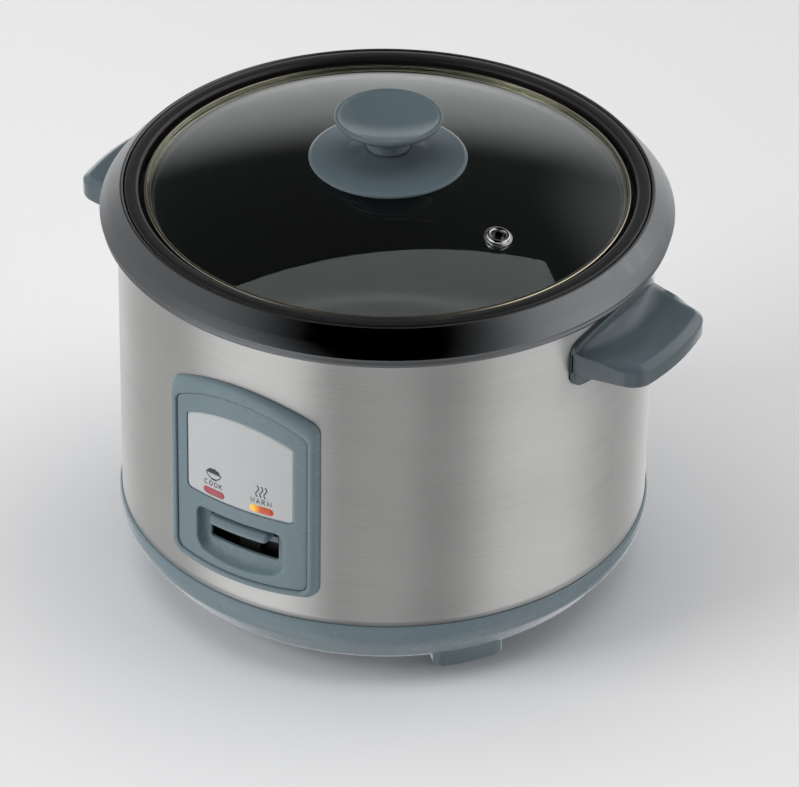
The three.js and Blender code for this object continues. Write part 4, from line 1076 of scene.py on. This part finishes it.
def make_label():
    """The label: a thin plate sunk in the fascia, with a narrow bevelled border."""
    front = panel_sizes()["face"] - 0.35
    rows = [on_front(label_outline(0.12), front - 1.1), on_front(label_outline(0.12), front - 0.6)]
    rows += [on_front(label_outline(1.0), front - 0.05), on_front(label_outline(1.2), front)]
    rim = label_outline(1.2)
    rows += [on_front(loop, front) for loop in shrunk(rim, (0.85, 0.65, 0.45, 0.25, 0.1, 0))]
    back = [on_front(loop, front - 1.1) for loop in shrunk(label_outline(0.12), (0, 0.5))]
    piece("label_face", [patch(np.stack(back + rows))], "label_plate", "label_grey", smooth=12)


def ribbon(across, up, width, front, closed=False):
    """A printed line: a flat band of the given width carried along the path (across, up), square to it."""
    path = np.column_stack([across, up])
    if closed:
        step = np.roll(path, -1, axis=0) - np.roll(path, 1, axis=0)
    else:
        step = np.gradient(path, axis=0)
    side = np.column_stack([-step[:, 1], step[:, 0]]) / np.linalg.norm(step, axis=1)[:, None]
    taper = np.full((len(path), 1), width / 2)
    section = [(-1, 0), (-1, 1), (1, 1), (1, 0)]
    rows = [on_front(path + side * taper * s, front + 0.1 * h - 0.04) for s, h in section]
    grid = np.stack(rows, axis=1)
    ends = [] if closed else [grid[:1].mean(axis=1, keepdims=True) + 0 * grid[:1]]
    if ends:
        ends.append(grid[-1:].mean(axis=1, keepdims=True) + 0 * grid[-1:])
        grid = np.concatenate([ends[0], grid, ends[1]])
    return patch(grid, wrap_rows=closed, behind=middle_of(grid))


def make_prints():
    """The label's two signs and words: a bowl heaped with rice over the first lamp, and three wisps of
    steam over the second. The bowl's side is half an ellipse, and a wisp is one turn of a sine."""
    front = panel_sizes()["face"] - 0.35
    cook = (span("cook_lens")[0] + span("cook_lens")[1])[0] / 2
    warm = (span("warm_lens")[0] + span("warm_lens")[1])[0] / 2
    level = 110.2
    turn = np.linspace(math.pi, FULL_TURN, 32)
    bowl = ribbon(cook + 4.3 * np.cos(turn), level + 3.3 * np.sin(turn), 0.5, front)
    brim = ribbon(cook + np.linspace(-4.8, 4.8, 24), level + 0 * turn[:24], 0.5, front)
    foot = ribbon(cook + np.linspace(-1.7, 1.7, 12), level - 3.6 + 0 * turn[:12], 0.5, front)
    heap_turn = np.linspace(0, math.pi, 40)
    grains = 2.4 + 0.24 * np.cos(9 * heap_turn)
    shares = np.linspace(1, 0, 6)[:, None, None]
    crest = np.stack([cook + 3.9 * np.cos(heap_turn), level + 0.4 + grains * np.sin(heap_turn)], -1)
    floor = np.stack([crest[:, 0], np.full(40, level + 0.4)], -1)
    heap = on_front(floor + (crest - floor) * shares, front + 0.06)
    parts = [bowl, brim, foot, patch(heap, wrap_columns=False)]
    piece("sign_bowl", parts, "label_plate", "print_dark", replaces=False)
    rise = np.linspace(-math.pi, math.pi, 48)
    wisps = [ribbon(warm + shift + 0.75 * np.sin(rise), level - 0.6 + 1.05 * rise, 0.55, front)
             for shift in (-2.2, 0, 2.2)]
    piece("sign_steam", wisps, "label_plate", "print_dark", replaces=False)
    for word, middle in (("COOK", cook), ("WARM", warm)):
        piece(f"sign_{word.lower()}", lettering(word, middle, 102.7, 2.5, front), "label_plate", "print_dark",
              replaces=False)


def lettering(word, middle, bottom, height, front):
    """Plain capitals drawn as strokes: each is a line or an arc in a box one unit high."""
    round_, open_ = np.linspace(0, FULL_TURN, 25)[:-1], np.radians(np.linspace(50, 310, 20))
    strokes = {
        "C": [arc_points(open_)],
        "O": [arc_points(round_)],
        "K": [[(0, 0), (0, 1)], [(0.6, 1), (0.06, 0.46)], [(0.2, 0.6), (0.64, 0)]],
        "W": [[(-0.06, 1), (0.16, 0), (0.36, 0.86), (0.56, 0), (0.78, 1)]],
        "A": [[(0, 0), (0.34, 1), (0.68, 0)], [(0.14, 0.34), (0.54, 0.34)]],
        "R": [
            [(0, 0), (0, 1), (0.36, 1), (0.54, 0.88), (0.54, 0.62), (0.36, 0.5), (0.04, 0.5)],
            [(0.3, 0.46), (0.6, 0)],
        ],
        "M": [[(0, 0), (0.02, 1), (0.38, 0.2), (0.74, 1), (0.76, 0)]],
    }
    pitch = 1.2
    start = middle / height - (len(word) * pitch - 0.3) / 2
    parts = []
    for place, letter in enumerate(word):
        for stroke in strokes[letter]:
            path = (np.array(stroke, float) + (start + place * pitch, 0)) * height
            closed = len(stroke) == len(round_)
            parts.append(ribbon(path[:, 0], path[:, 1] + bottom, 0.42, front, closed))
    return parts


def arc_points(angles):
    """Points of the letters' round stroke at the given angles."""
    return np.column_stack([0.38 + 0.38 * np.cos(angles), 0.5 + 0.5 * np.sin(angles)])


def make_lens(node, finish):
    """A lamp's lens: a stadium outline whose face is domed as a quarter wave from its edge."""
    low, high = span(node)
    centre, half, height = (low + high) / 2, (high - low)[0] / 2, (high - low)[2] / 2
    front = panel_sizes()["face"] - 0.45
    flat = outline(half, -height, height, corners=(height, height)) + (centre[0], centre[2])
    shares = np.cos(np.linspace(0, math.pi / 2, 9))
    rise = 0.85 * np.sin(np.linspace(0, math.pi / 2, 9))
    rows = [on_front(flat, front - 1)]
    rows += [on_front(loop, front + r) for loop, r in zip(shrunk(flat, shares), rise)]
    return piece(f"{node}_dome", [patch(np.stack(rows))], node, finish, smooth=60)


def make_lever():
    """The lever: a finger bar, which is a rounded section carried across the slot and drawn in at both
    ends as a quarter circle, and an apron under it that closes the upper part of the slot."""
    low, high = span("lever_knob")
    top, nose, overhang, thickness, length = high[2], -low[1], 2.0, 4.3, 10.2
    half, bottom, root = high[0] - overhang, top - thickness, nose - length
    section = rounded(
        [
            (root, bottom, 0.6),
            (nose - 0.4, bottom, 1.0),
            (nose, bottom + 1.9, 1.4),
            (nose - 2.6, top, 2.2),
            (root, top, 0.6),
        ]
    )
    end = 1.6
    lean = np.linspace(0, math.pi / 2, 7)[:-1]
    tip = half - end + end * np.cos(lean)
    across = np.concatenate([-tip, np.linspace(-half + end, half - end, 24), tip[::-1]])
    draw = np.concatenate([np.sin(lean), np.ones(24), np.sin(lean)[::-1]])[:, None, None]
    middle = section.mean(axis=0)
    sections = middle + (section - middle) * (0.35 + 0.65 * draw)
    ends = np.concatenate([[across[0]], across, [across[-1]]])
    sections = np.concatenate([sections[:1] * 0 + middle, sections, sections[:1] * 0 + middle])
    u = np.repeat(ends[:, None], len(section), axis=1)
    y = -np.sqrt(sections[..., 0] ** 2 - u**2)
    grid = np.stack([u, y, sections[..., 1]], -1)
    centre = np.array([0, -root, bottom])
    piece("finger_bar", [patch(grid, behind=centre)], "lever_knob", "grey_satin")
    back, front, edge = nose - 10.4, nose - 8.4, 0.4

    def apron(inset=0):
        return outline(high[0], low[2], bottom + 0.3, corners=(0.6, 0.6), inset=inset)

    roll = arc((edge, front - edge), edge, math.pi, math.pi / 2, 4)
    rows = [on_front(loop, back) for loop in (shrunk(apron(), (0,))[0], apron())]
    rows += [on_front(apron(inset), radius) for inset, radius in roll]
    rows += [on_front(loop, front) for loop in shrunk(apron(edge), (0.5, 0))]
    grid = np.stack(rows)
    closed = patch(grid, behind=middle_of(grid))
    piece("lever_apron", [closed], "lever_knob", "grey_satin", replaces=False)


# ---- Handles ------------------------------------------------------------------------------------
def make_handle(node, angle):
    """A side handle, made to face the front and then turned: an arched back plate with a rolled edge,
    and a flat grip that rises to it in a hollow, with a bevelled tip and a finger pocket underneath."""
    low, high = span(node)
    shell = span("outer_shell")[1][1]
    half = high[1]
    bottom, top = low[2], high[2]
    face = shell + 3

    def plate(inset, radius):
        shape = outline(half, bottom + 1.5, top - 8, bows=(1.5, 8), corners=(6, 7), inset=inset)
        return on_front(shape, radius)

    roll = arc((1.3, face - 1.3), 1.3, math.pi, math.pi / 2, 6)
    rows = [plate(0, shell + 0.35), *[plate(inset, r) for inset, r in roll]]
    rim = outline(half, bottom + 1.5, top - 8, bows=(1.5, 8), corners=(6, 7), inset=1.3)
    rows += [on_front(loop, face) for loop in shrunk(rim, (0.85, 0.65, 0.45, 0.25, 0.1, 0))]
    rows.insert(0, on_front(shrunk(rim, (0,))[0], shell + 0.35))
    back_plate = turned_about_z(np.stack(rows), angle)

    grip_top = top - 12.5
    bottom_face = grip_top - 11.5
    reach = high[0] if angle > 0 else -low[0]
    root, tip = shell - 4.6, reach
    bow_radius = (half**2 + 8**2) / (2 * 8)

    def hollow(across, distance):
        """Rise of the grip's top towards the plate's rim: a quarter ellipse, 13 mm long."""
        rim = top - bow_radius + np.sqrt(bow_radius**2 - across**2) - 2.6
        start = np.sqrt(face**2 - across**2) - 0.6
        s = np.clip((distance - start) / (face + 12.4 - start), 0, 1)
        return (rim - grip_top) * (1 - np.sqrt(s * (2 - s)))

    def loop(inset, up, drop=0.0, is_top=False):
        flat = outline(half, root, tip - 4, bows=(0, 4), corners=(0, 10), inset=inset, kept="low")
        share = np.clip((flat[:, 1] - shell) / (tip - shell), 0, 1)
        across = flat[:, 0] * (1 - 0.157 * share)
        height = up - drop * np.clip((flat[:, 1] - face - 8) / 9, 0, 1)
        if is_top:
            height = height + hollow(across, flat[:, 1])
        return np.column_stack([across, -flat[:, 1], height])

    edge, chamfer, drop = 1.1, 4.2, 2.6
    lower = arc((edge, bottom_face + edge), edge, -math.pi / 2, -math.pi, 4)
    upper = arc((edge, grip_top - edge), edge, math.pi, 0.72 * math.pi, 4)

    def level(half_width, near, far, corner, up):
        flat = outline(half_width, near, far, bows=(0, 3), corners=(4, corner))
        return np.column_stack([flat[:, 0], -flat[:, 1], np.full(len(flat), up)])

    pocket = [level(26, shell + 13, tip - 8, 6, up) for up in (bottom_face + 7, bottom_face + 0.6)]
    lip = level(26.5, shell + 12.5, tip - 7.5, 6, bottom_face)
    crown = [loop(chamfer - 0.5, grip_top - 0.12, 0.3, True), loop(chamfer + 0.3, grip_top, 0, True)]
    inner = []
    for share in (0.92, 0.84, 0.76, 0.68, 0.6, 0.5, 0.4, 0.3, 0.2, 0.1, 0):
        flat = loop(chamfer + 0.3, grip_top)
        flat = shrunk(flat, (share,))[0]
        flat[:, 2] += hollow(flat[:, 0], -flat[:, 1]) - 0.35 * (1 - share)
        inner.append(flat)
    rows = [
        shrunk(pocket[0], (0,))[0],
        *pocket,
        lip,
        *[loop(inset, up) for inset, up in lower],
        *[loop(inset, up, drop, True) for inset, up in upper],
        *crown,
        *inner,
    ]
    grip = turned_about_z(np.stack(rows), angle)
    side = "right" if angle > 0 else "left"
    patches = [patch(back_plate), patch(grip, behind=grip.mean(axis=(0, 1)))]
    return piece(f"grip_{side}", patches, node, "grey_gloss_shaded")


# ---- Power inlet --------------------------------------------------------------------------------
def make_inlet():
    """The appliance inlet: a flange round a deep socket, as loops that run from the back of its body over
    the face and down into the socket."""
    low, high = span("power_inlet")
    middle = (low[2] + high[2]) / 2
    half, height, face = high[0], (high[2] - low[2]) / 2, high[1]
    shell = span("outer_shell")[1][1] + 0.35

    def ring(wide, tall, corner, inset, depth):
        flat = outline(wide, middle - tall, middle + tall, corners=(corner, corner), inset=inset)
        return np.column_stack([flat[:, 0], np.full(len(flat), depth), flat[:, 1]])

    def seated(inset):
        flat = outline(half, middle - height, middle + height, corners=(3, 3), inset=inset)
        return on_front(flat, shell) * (1, -1, 1)

    edge = arc((0.8, face - 0.8), 0.8, math.pi, math.pi / 2, 4)
    back = low[1]
    rows = [
        shrunk(ring(half - 3, height - 3, 2, 0, back), (0,))[0],
        ring(half - 3, height - 3, 2, 0, back),
        ring(half - 3, height - 3, 2, 0, shell - 2.2),
        seated(3),
        seated(0),
        *[ring(half, height, 3, inset, depth) for inset, depth in edge],
        ring(11.9, 8.2, 3, 0, face),
        ring(11.5, 7.8, 3, 0, face - 0.4),
        ring(11.5, 7.8, 3, 0, face - 15),
    ]
    rows.append(shrunk(rows[-1], (0,))[0])
    grid = np.stack(rows)
    piece("inlet_socket", [patch(grid, behind=middle_of(grid))], "power_inlet", "black_satin_and_slot_shade")


# ---- Finishes of the pieces that stay as they are ------------------------------------------------
KEPT = {
    "sheet_steel": "bottom_cover mechanism_bracket heating_element plate_screw_1 plate_screw_2 "
    "plate_screw_3 handle_right_screw_1 handle_right_screw_2 handle_left_screw_1 handle_left_screw_2 "
    "cover_screw_1 cover_screw_2 cover_screw_3",
    "bright_steel": "pivot_pin magnet_spring sensor_spring knob_screw",
    "white_ceramic": "keep_warm_band plate_spacer_1 plate_spacer_2 plate_spacer_3 switch_button",
    # The lever arm is sheet steel; its black finish is painted shade that keeps the slot behind the lever
    # dark.
    "black_satin_and_slot_shade": "lever_arm microswitch live_lead neutral_lead",
    "board_laminate": "indicator_board",
    "pin_brass": "inlet_pin_live inlet_pin_neutral inlet_pin_earth cook_lamp warm_lamp",
    "dark_ferrite": "thermostat_ferrite thermostat_magnet",
    "seal_rubber": "knob_washer",
}


def dress_kept():
    """Gives the pieces that keep the frame's shape their finishes."""
    for finish, names in KEPT.items():
        for name in names.split():
            dress(frame["nodes"][name], finish)


# ---- Studio -------------------------------------------------------------------------------------
def make_camera():
    """A long lens in front of the cooker, to its right and above it."""
    studio = bpy.context.scene.cooker_studio
    turn, rise = studio.azimuth, studio.elevation
    aim = Vector((0, 0, 0.1))
    away = Vector((math.sin(turn) * math.cos(rise), -math.cos(turn) * math.cos(rise), math.sin(rise)))
    data = bpy.data.cameras.new("camera")
    data.lens = studio.lens
    data.shift_x, data.shift_y = 0.018, -0.0277
    camera = bpy.data.objects.new("camera", data)
    bpy.context.scene.collection.objects.link(camera)
    facing = away.to_track_quat("Z", "Y").to_matrix().to_4x4()
    tilt = Matrix.Rotation(studio.tilt, 4, "Z")
    camera.matrix_world = Matrix.Translation(aim + away * studio.distance) @ facing @ tilt
    bpy.context.scene.camera = camera


def make_floor():
    """A wide pale floor that lights the cooker but isn't mirrored in it."""
    data = bpy.data.meshes.new("floor")
    reach = 8.0
    corners = [(-reach, -reach, 0), (reach, -reach, 0), (reach, reach, 0), (-reach, reach, 0)]
    data.from_pydata(corners, [], [(0, 1, 2, 3)])
    floor = bpy.data.objects.new("floor", data)
    bpy.context.scene.collection.objects.link(floor)
    tree = Finish("studio_floor", Specular_IOR_Level=0.2)
    cloud = tree.noise(tree.place, 3, 2, 0.5)
    tree.wire(Roughness=tree.range(cloud, 0.3, 0.7, 0.55, 0.65))
    tree.shader.inputs["Base Color"].default_value = (0.92, 0.92, 0.93, 1)
    dress(floor, "studio_floor")
    floor.visible_glossy = False


def softbox(name, place, aim, size, power, colour=(1, 1, 1)):
    data = bpy.data.lights.new(name, "AREA")
    data.shape = "RECTANGLE"
    data.size, data.size_y = size
    data.energy = power
    data.color = colour
    light = bpy.data.objects.new(name, data)
    bpy.context.scene.collection.objects.link(light)
    facing = (Vector(aim) - Vector(place)).to_track_quat("-Z", "Y").to_matrix().to_4x4()
    light.matrix_world = Matrix.Translation(place) @ facing
    light.visible_glossy = False


def make_world():
    """A dim room with broad bright and dark areas in it. A band is a smooth step of the cosine between a
    level direction and the band's middle; a patch does the same with the full direction."""
    studio = bpy.context.scene.cooker_studio
    world = bpy.data.worlds.new("studio")
    bpy.context.scene.world = world
    world.use_nodes = True
    nodes = Nodes(world.node_tree)
    background = world.node_tree.nodes["Background"]
    direction = nodes.add("ShaderNodeTexCoord").outputs["Generated"]
    level = nodes.scaled(direction, (1, 1, 0))
    flat = nodes.add("ShaderNodeVectorMath", {0: level}, operation="NORMALIZE").outputs[0]
    height = nodes.add("ShaderNodeSeparateXYZ", {0: direction}).outputs[2]
    under_sky = nodes.range(height, 0.6, 0.25)
    areas = [(flat, angle, 0, *rest) for angle, *rest in STUDIO_BANDS]
    areas += [(direction, *patch_) for patch_ in STUDIO_PATCHES]
    total = studio.room
    for vector, angle, up, half, soft, change in areas:
        turn, rise = studio.azimuth + math.radians(angle), math.radians(up)
        middle = (math.sin(turn) * math.cos(rise), -math.cos(turn) * math.cos(rise), math.sin(rise))
        near = nodes.add("ShaderNodeVectorMath", {0: vector, 1: middle}, operation="DOT_PRODUCT")
        edges = [math.cos(math.radians(a)) for a in (half + soft, half)]
        share = nodes.range(near.outputs["Value"], *edges)
        if vector is flat:
            share = nodes.math("MULTIPLY", share, under_sky)
        total = nodes.math("MULTIPLY_ADD", share, change, total)
    world.node_tree.links.new(total, background.inputs["Strength"])
    background.inputs["Color"].default_value = (1, 1, 1, 1)


# Degrees right of the lens, half width, soft edge and added brightness.
STUDIO_BANDS = [(-57, 15, 18, 0.72), (-118, 14, 20, 0.18), (0, 8, 12, 0.17), (69, 12, 24, 0.45)]
# The same with degrees above the table after the first.
STUDIO_PATCHES = [
    (0, 48, 28, 22, -0.5),
    (180, 45, 30, 20, -0.36),
    (180, -18, 32, 16, 0.65),
    (98, 32, 18, 24, 0.65),
    (136, 22, 6, 22, 0.6),
]


def make_lights():
    """Two softboxes that light the matt surfaces: one overhead and one at the left of the lens."""
    key = bpy.context.scene.cooker_studio.key
    softbox("top_softbox", (-0.1, 0.1, 2.3), (0, 0, 0), (2.4, 2.4), 29 * key)
    softbox("left_softbox", (-1.6, -1.9, 1.5), (0, 0, 0.1), (1.4, 1.4), 34 * key)


# ---- Settings -----------------------------------------------------------------------------------
def colour_setting(name, description, default):
    return bpy.props.FloatVectorProperty(
        name=name, description=description, subtype="COLOR_GAMMA", size=3, min=0, max=1, default=default
    )


class CookerColours(bpy.types.PropertyGroup):
    """Colours of the cooker's main finishes."""

    # The handles and knob take this colour at 0.76 brightness, as painted shade.
    plastic: colour_setting("Plastic", "Base, control panel, handles and knob", (0.45, 0.52, 0.55))
    steel: colour_setting("Steel", "Brushed drum", (0.80, 0.80, 0.795))
    ring: colour_setting("Top ring", "Coned ring round the pot", (0.46, 0.47, 0.48))
    label: colour_setting("Label", "Printed plate above the lever", (0.765, 0.775, 0.78))


class CookerStudio(bpy.types.PropertyGroup):
    """The camera and the light."""

    azimuth: bpy.props.FloatProperty(
        name="Azimuth",
        description="Camera to the right of the front",
        subtype="ANGLE",
        default=math.radians(31.7),
    )
    elevation: bpy.props.FloatProperty(
        name="Elevation", description="Camera above the table", subtype="ANGLE", default=math.radians(33.53)
    )
    tilt: bpy.props.FloatProperty(
        name="Tilt", description="Camera turned about its view", subtype="ANGLE", default=math.radians(0.79)
    )
    distance: bpy.props.FloatProperty(
        name="Distance", description="Camera to the cooker's middle", unit="LENGTH", default=2.59
    )
    lens: bpy.props.FloatProperty(name="Lens", description="Focal length", unit="CAMERA", default=232.0)
    room: bpy.props.FloatProperty(name="Room", description="Brightness of the even room", default=0.4)
    key: bpy.props.FloatProperty(name="Key", description="Share of the softboxes' power", default=1.0)


# ---- Operators ----------------------------------------------------------------------------------
class PieceOperator:
    """What every operator here shares: it runs its own make function once."""

    bl_options = {"REGISTER", "UNDO"}

    def execute(self, context):
        self.make()
        return {"FINISHED"}


class COOKER_OT_finishes(PieceOperator, bpy.types.Operator):
    """Make the materials, and give them to the pieces that keep the frame's shape."""

    bl_idname = "cooker.finishes"
    bl_label = "Finishes"

    def make(self):
        make_finishes()
        dress_kept()


class COOKER_OT_body(PieceOperator, bpy.types.Operator):
    """Add the steel drum, the top ring, the base and its feet."""

    bl_idname = "cooker.body"
    bl_label = "Body"

    def make(self):
        make_shell()
        make_top_ring()
        make_base()
        for node, angle in FEET.items():
            make_foot(node, angle)


class COOKER_OT_pot(PieceOperator, bpy.types.Operator):
    """Add the lift-out pot and its level marks."""

    bl_idname = "cooker.pot"
    bl_label = "Pot"

    def make(self):
        make_pot()
        make_level_marks()


class COOKER_OT_chamber(PieceOperator, bpy.types.Operator):
    """Add the chamber, the heating plate and the thermostat's cap."""

    bl_idname = "cooker.chamber"
    bl_label = "Chamber and heater"

    def make(self):
        make_chamber()
        make_heater()


class COOKER_OT_lid(PieceOperator, bpy.types.Operator):
    """Add the glass, its steel rim, the steam vent and the knob."""

    bl_idname = "cooker.lid"
    bl_label = "Lid"

    def make(self):
        make_glass()
        make_lid_rim()
        make_vent()
        make_knob()


class COOKER_OT_panel(PieceOperator, bpy.types.Operator):
    """Add the control panel: its frame, face, label, signs and lenses."""

    bl_idname = "cooker.control_panel"
    bl_label = "Control panel"

    def make(self):
        make_bezel()
        make_fascia()
        make_label()
        make_prints()
        make_lens("cook_lens", "lens_red")
        make_lens("warm_lens", "lens_amber")


class COOKER_OT_lever(PieceOperator, bpy.types.Operator):
    """Add the lever's finger bar."""

    bl_idname = "cooker.lever"
    bl_label = "Lever"

    def make(self):
        make_lever()


class COOKER_OT_handles(PieceOperator, bpy.types.Operator):
    """Add the two side handles."""

    bl_idname = "cooker.handles"
    bl_label = "Handles"

    def make(self):
        make_handle("handle_right", 90)
        make_handle("handle_left", -90)


class COOKER_OT_inlet(PieceOperator, bpy.types.Operator):
    """Add the power inlet at the rear."""

    bl_idname = "cooker.inlet"
    bl_label = "Power inlet"

    def make(self):
        make_inlet()


class COOKER_OT_fasteners(PieceOperator, bpy.types.Operator):
    """Add the heads of the screws that show."""

    bl_idname = "cooker.fasteners"
    bl_label = "Fasteners"

    def make(self):
        for number in range(1, 4):
            name = f"cover_screw_{number}"
            screw_head(f"{name}_head", name, 3.5, 2.2, "sheet_steel", True)


class COOKER_OT_stage(PieceOperator, bpy.types.Operator):
    """Add the floor, the light and the camera."""

    bl_idname = "cooker.stage"
    bl_label = "Stage"

    def make(self):
        make_floor()
        make_world()
        make_lights()
        make_camera()
        bpy.context.scene.view_settings.view_transform = "Standard"


OPERATORS = (
    COOKER_OT_finishes,
    COOKER_OT_stage,
    COOKER_OT_body,
    COOKER_OT_pot,
    COOKER_OT_chamber,
    COOKER_OT_lid,
    COOKER_OT_panel,
    COOKER_OT_lever,
    COOKER_OT_handles,
    COOKER_OT_inlet,
    COOKER_OT_fasteners,
)


class COOKER_PT_panel(bpy.types.Panel):
    """The cooker's settings and pieces, in the 3D view's sidebar."""

    bl_idname = "COOKER_PT_panel"
    bl_label = "Rice Cooker"
    bl_space_type = "VIEW_3D"
    bl_region_type = "UI"
    bl_category = "Rice Cooker"

    def draw(self, context):
        column = self.layout.column()
        for settings in (context.scene.cooker_colours, context.scene.cooker_studio):
            for name in settings.__annotations__:
                column.prop(settings, name)
        for operator in OPERATORS:
            column.operator(operator.bl_idname)


CLASSES = (CookerColours, CookerStudio, *OPERATORS, COOKER_PT_panel)


def register():
    for cls in CLASSES:
        bpy.utils.register_class(cls)
    bpy.types.Scene.cooker_colours = bpy.props.PointerProperty(type=CookerColours)
    bpy.types.Scene.cooker_studio = bpy.props.PointerProperty(type=CookerStudio)


def unregister():
    del bpy.types.Scene.cooker_studio
    del bpy.types.Scene.cooker_colours
    for cls in reversed(CLASSES):
        bpy.utils.unregister_class(cls)


def main():
    """Makes the whole cooker in its studio."""
    register()
    for operator in OPERATORS:
        getattr(bpy.ops.cooker, operator.bl_idname.split(".")[1])()


if __name__ == "__main__":
    main()
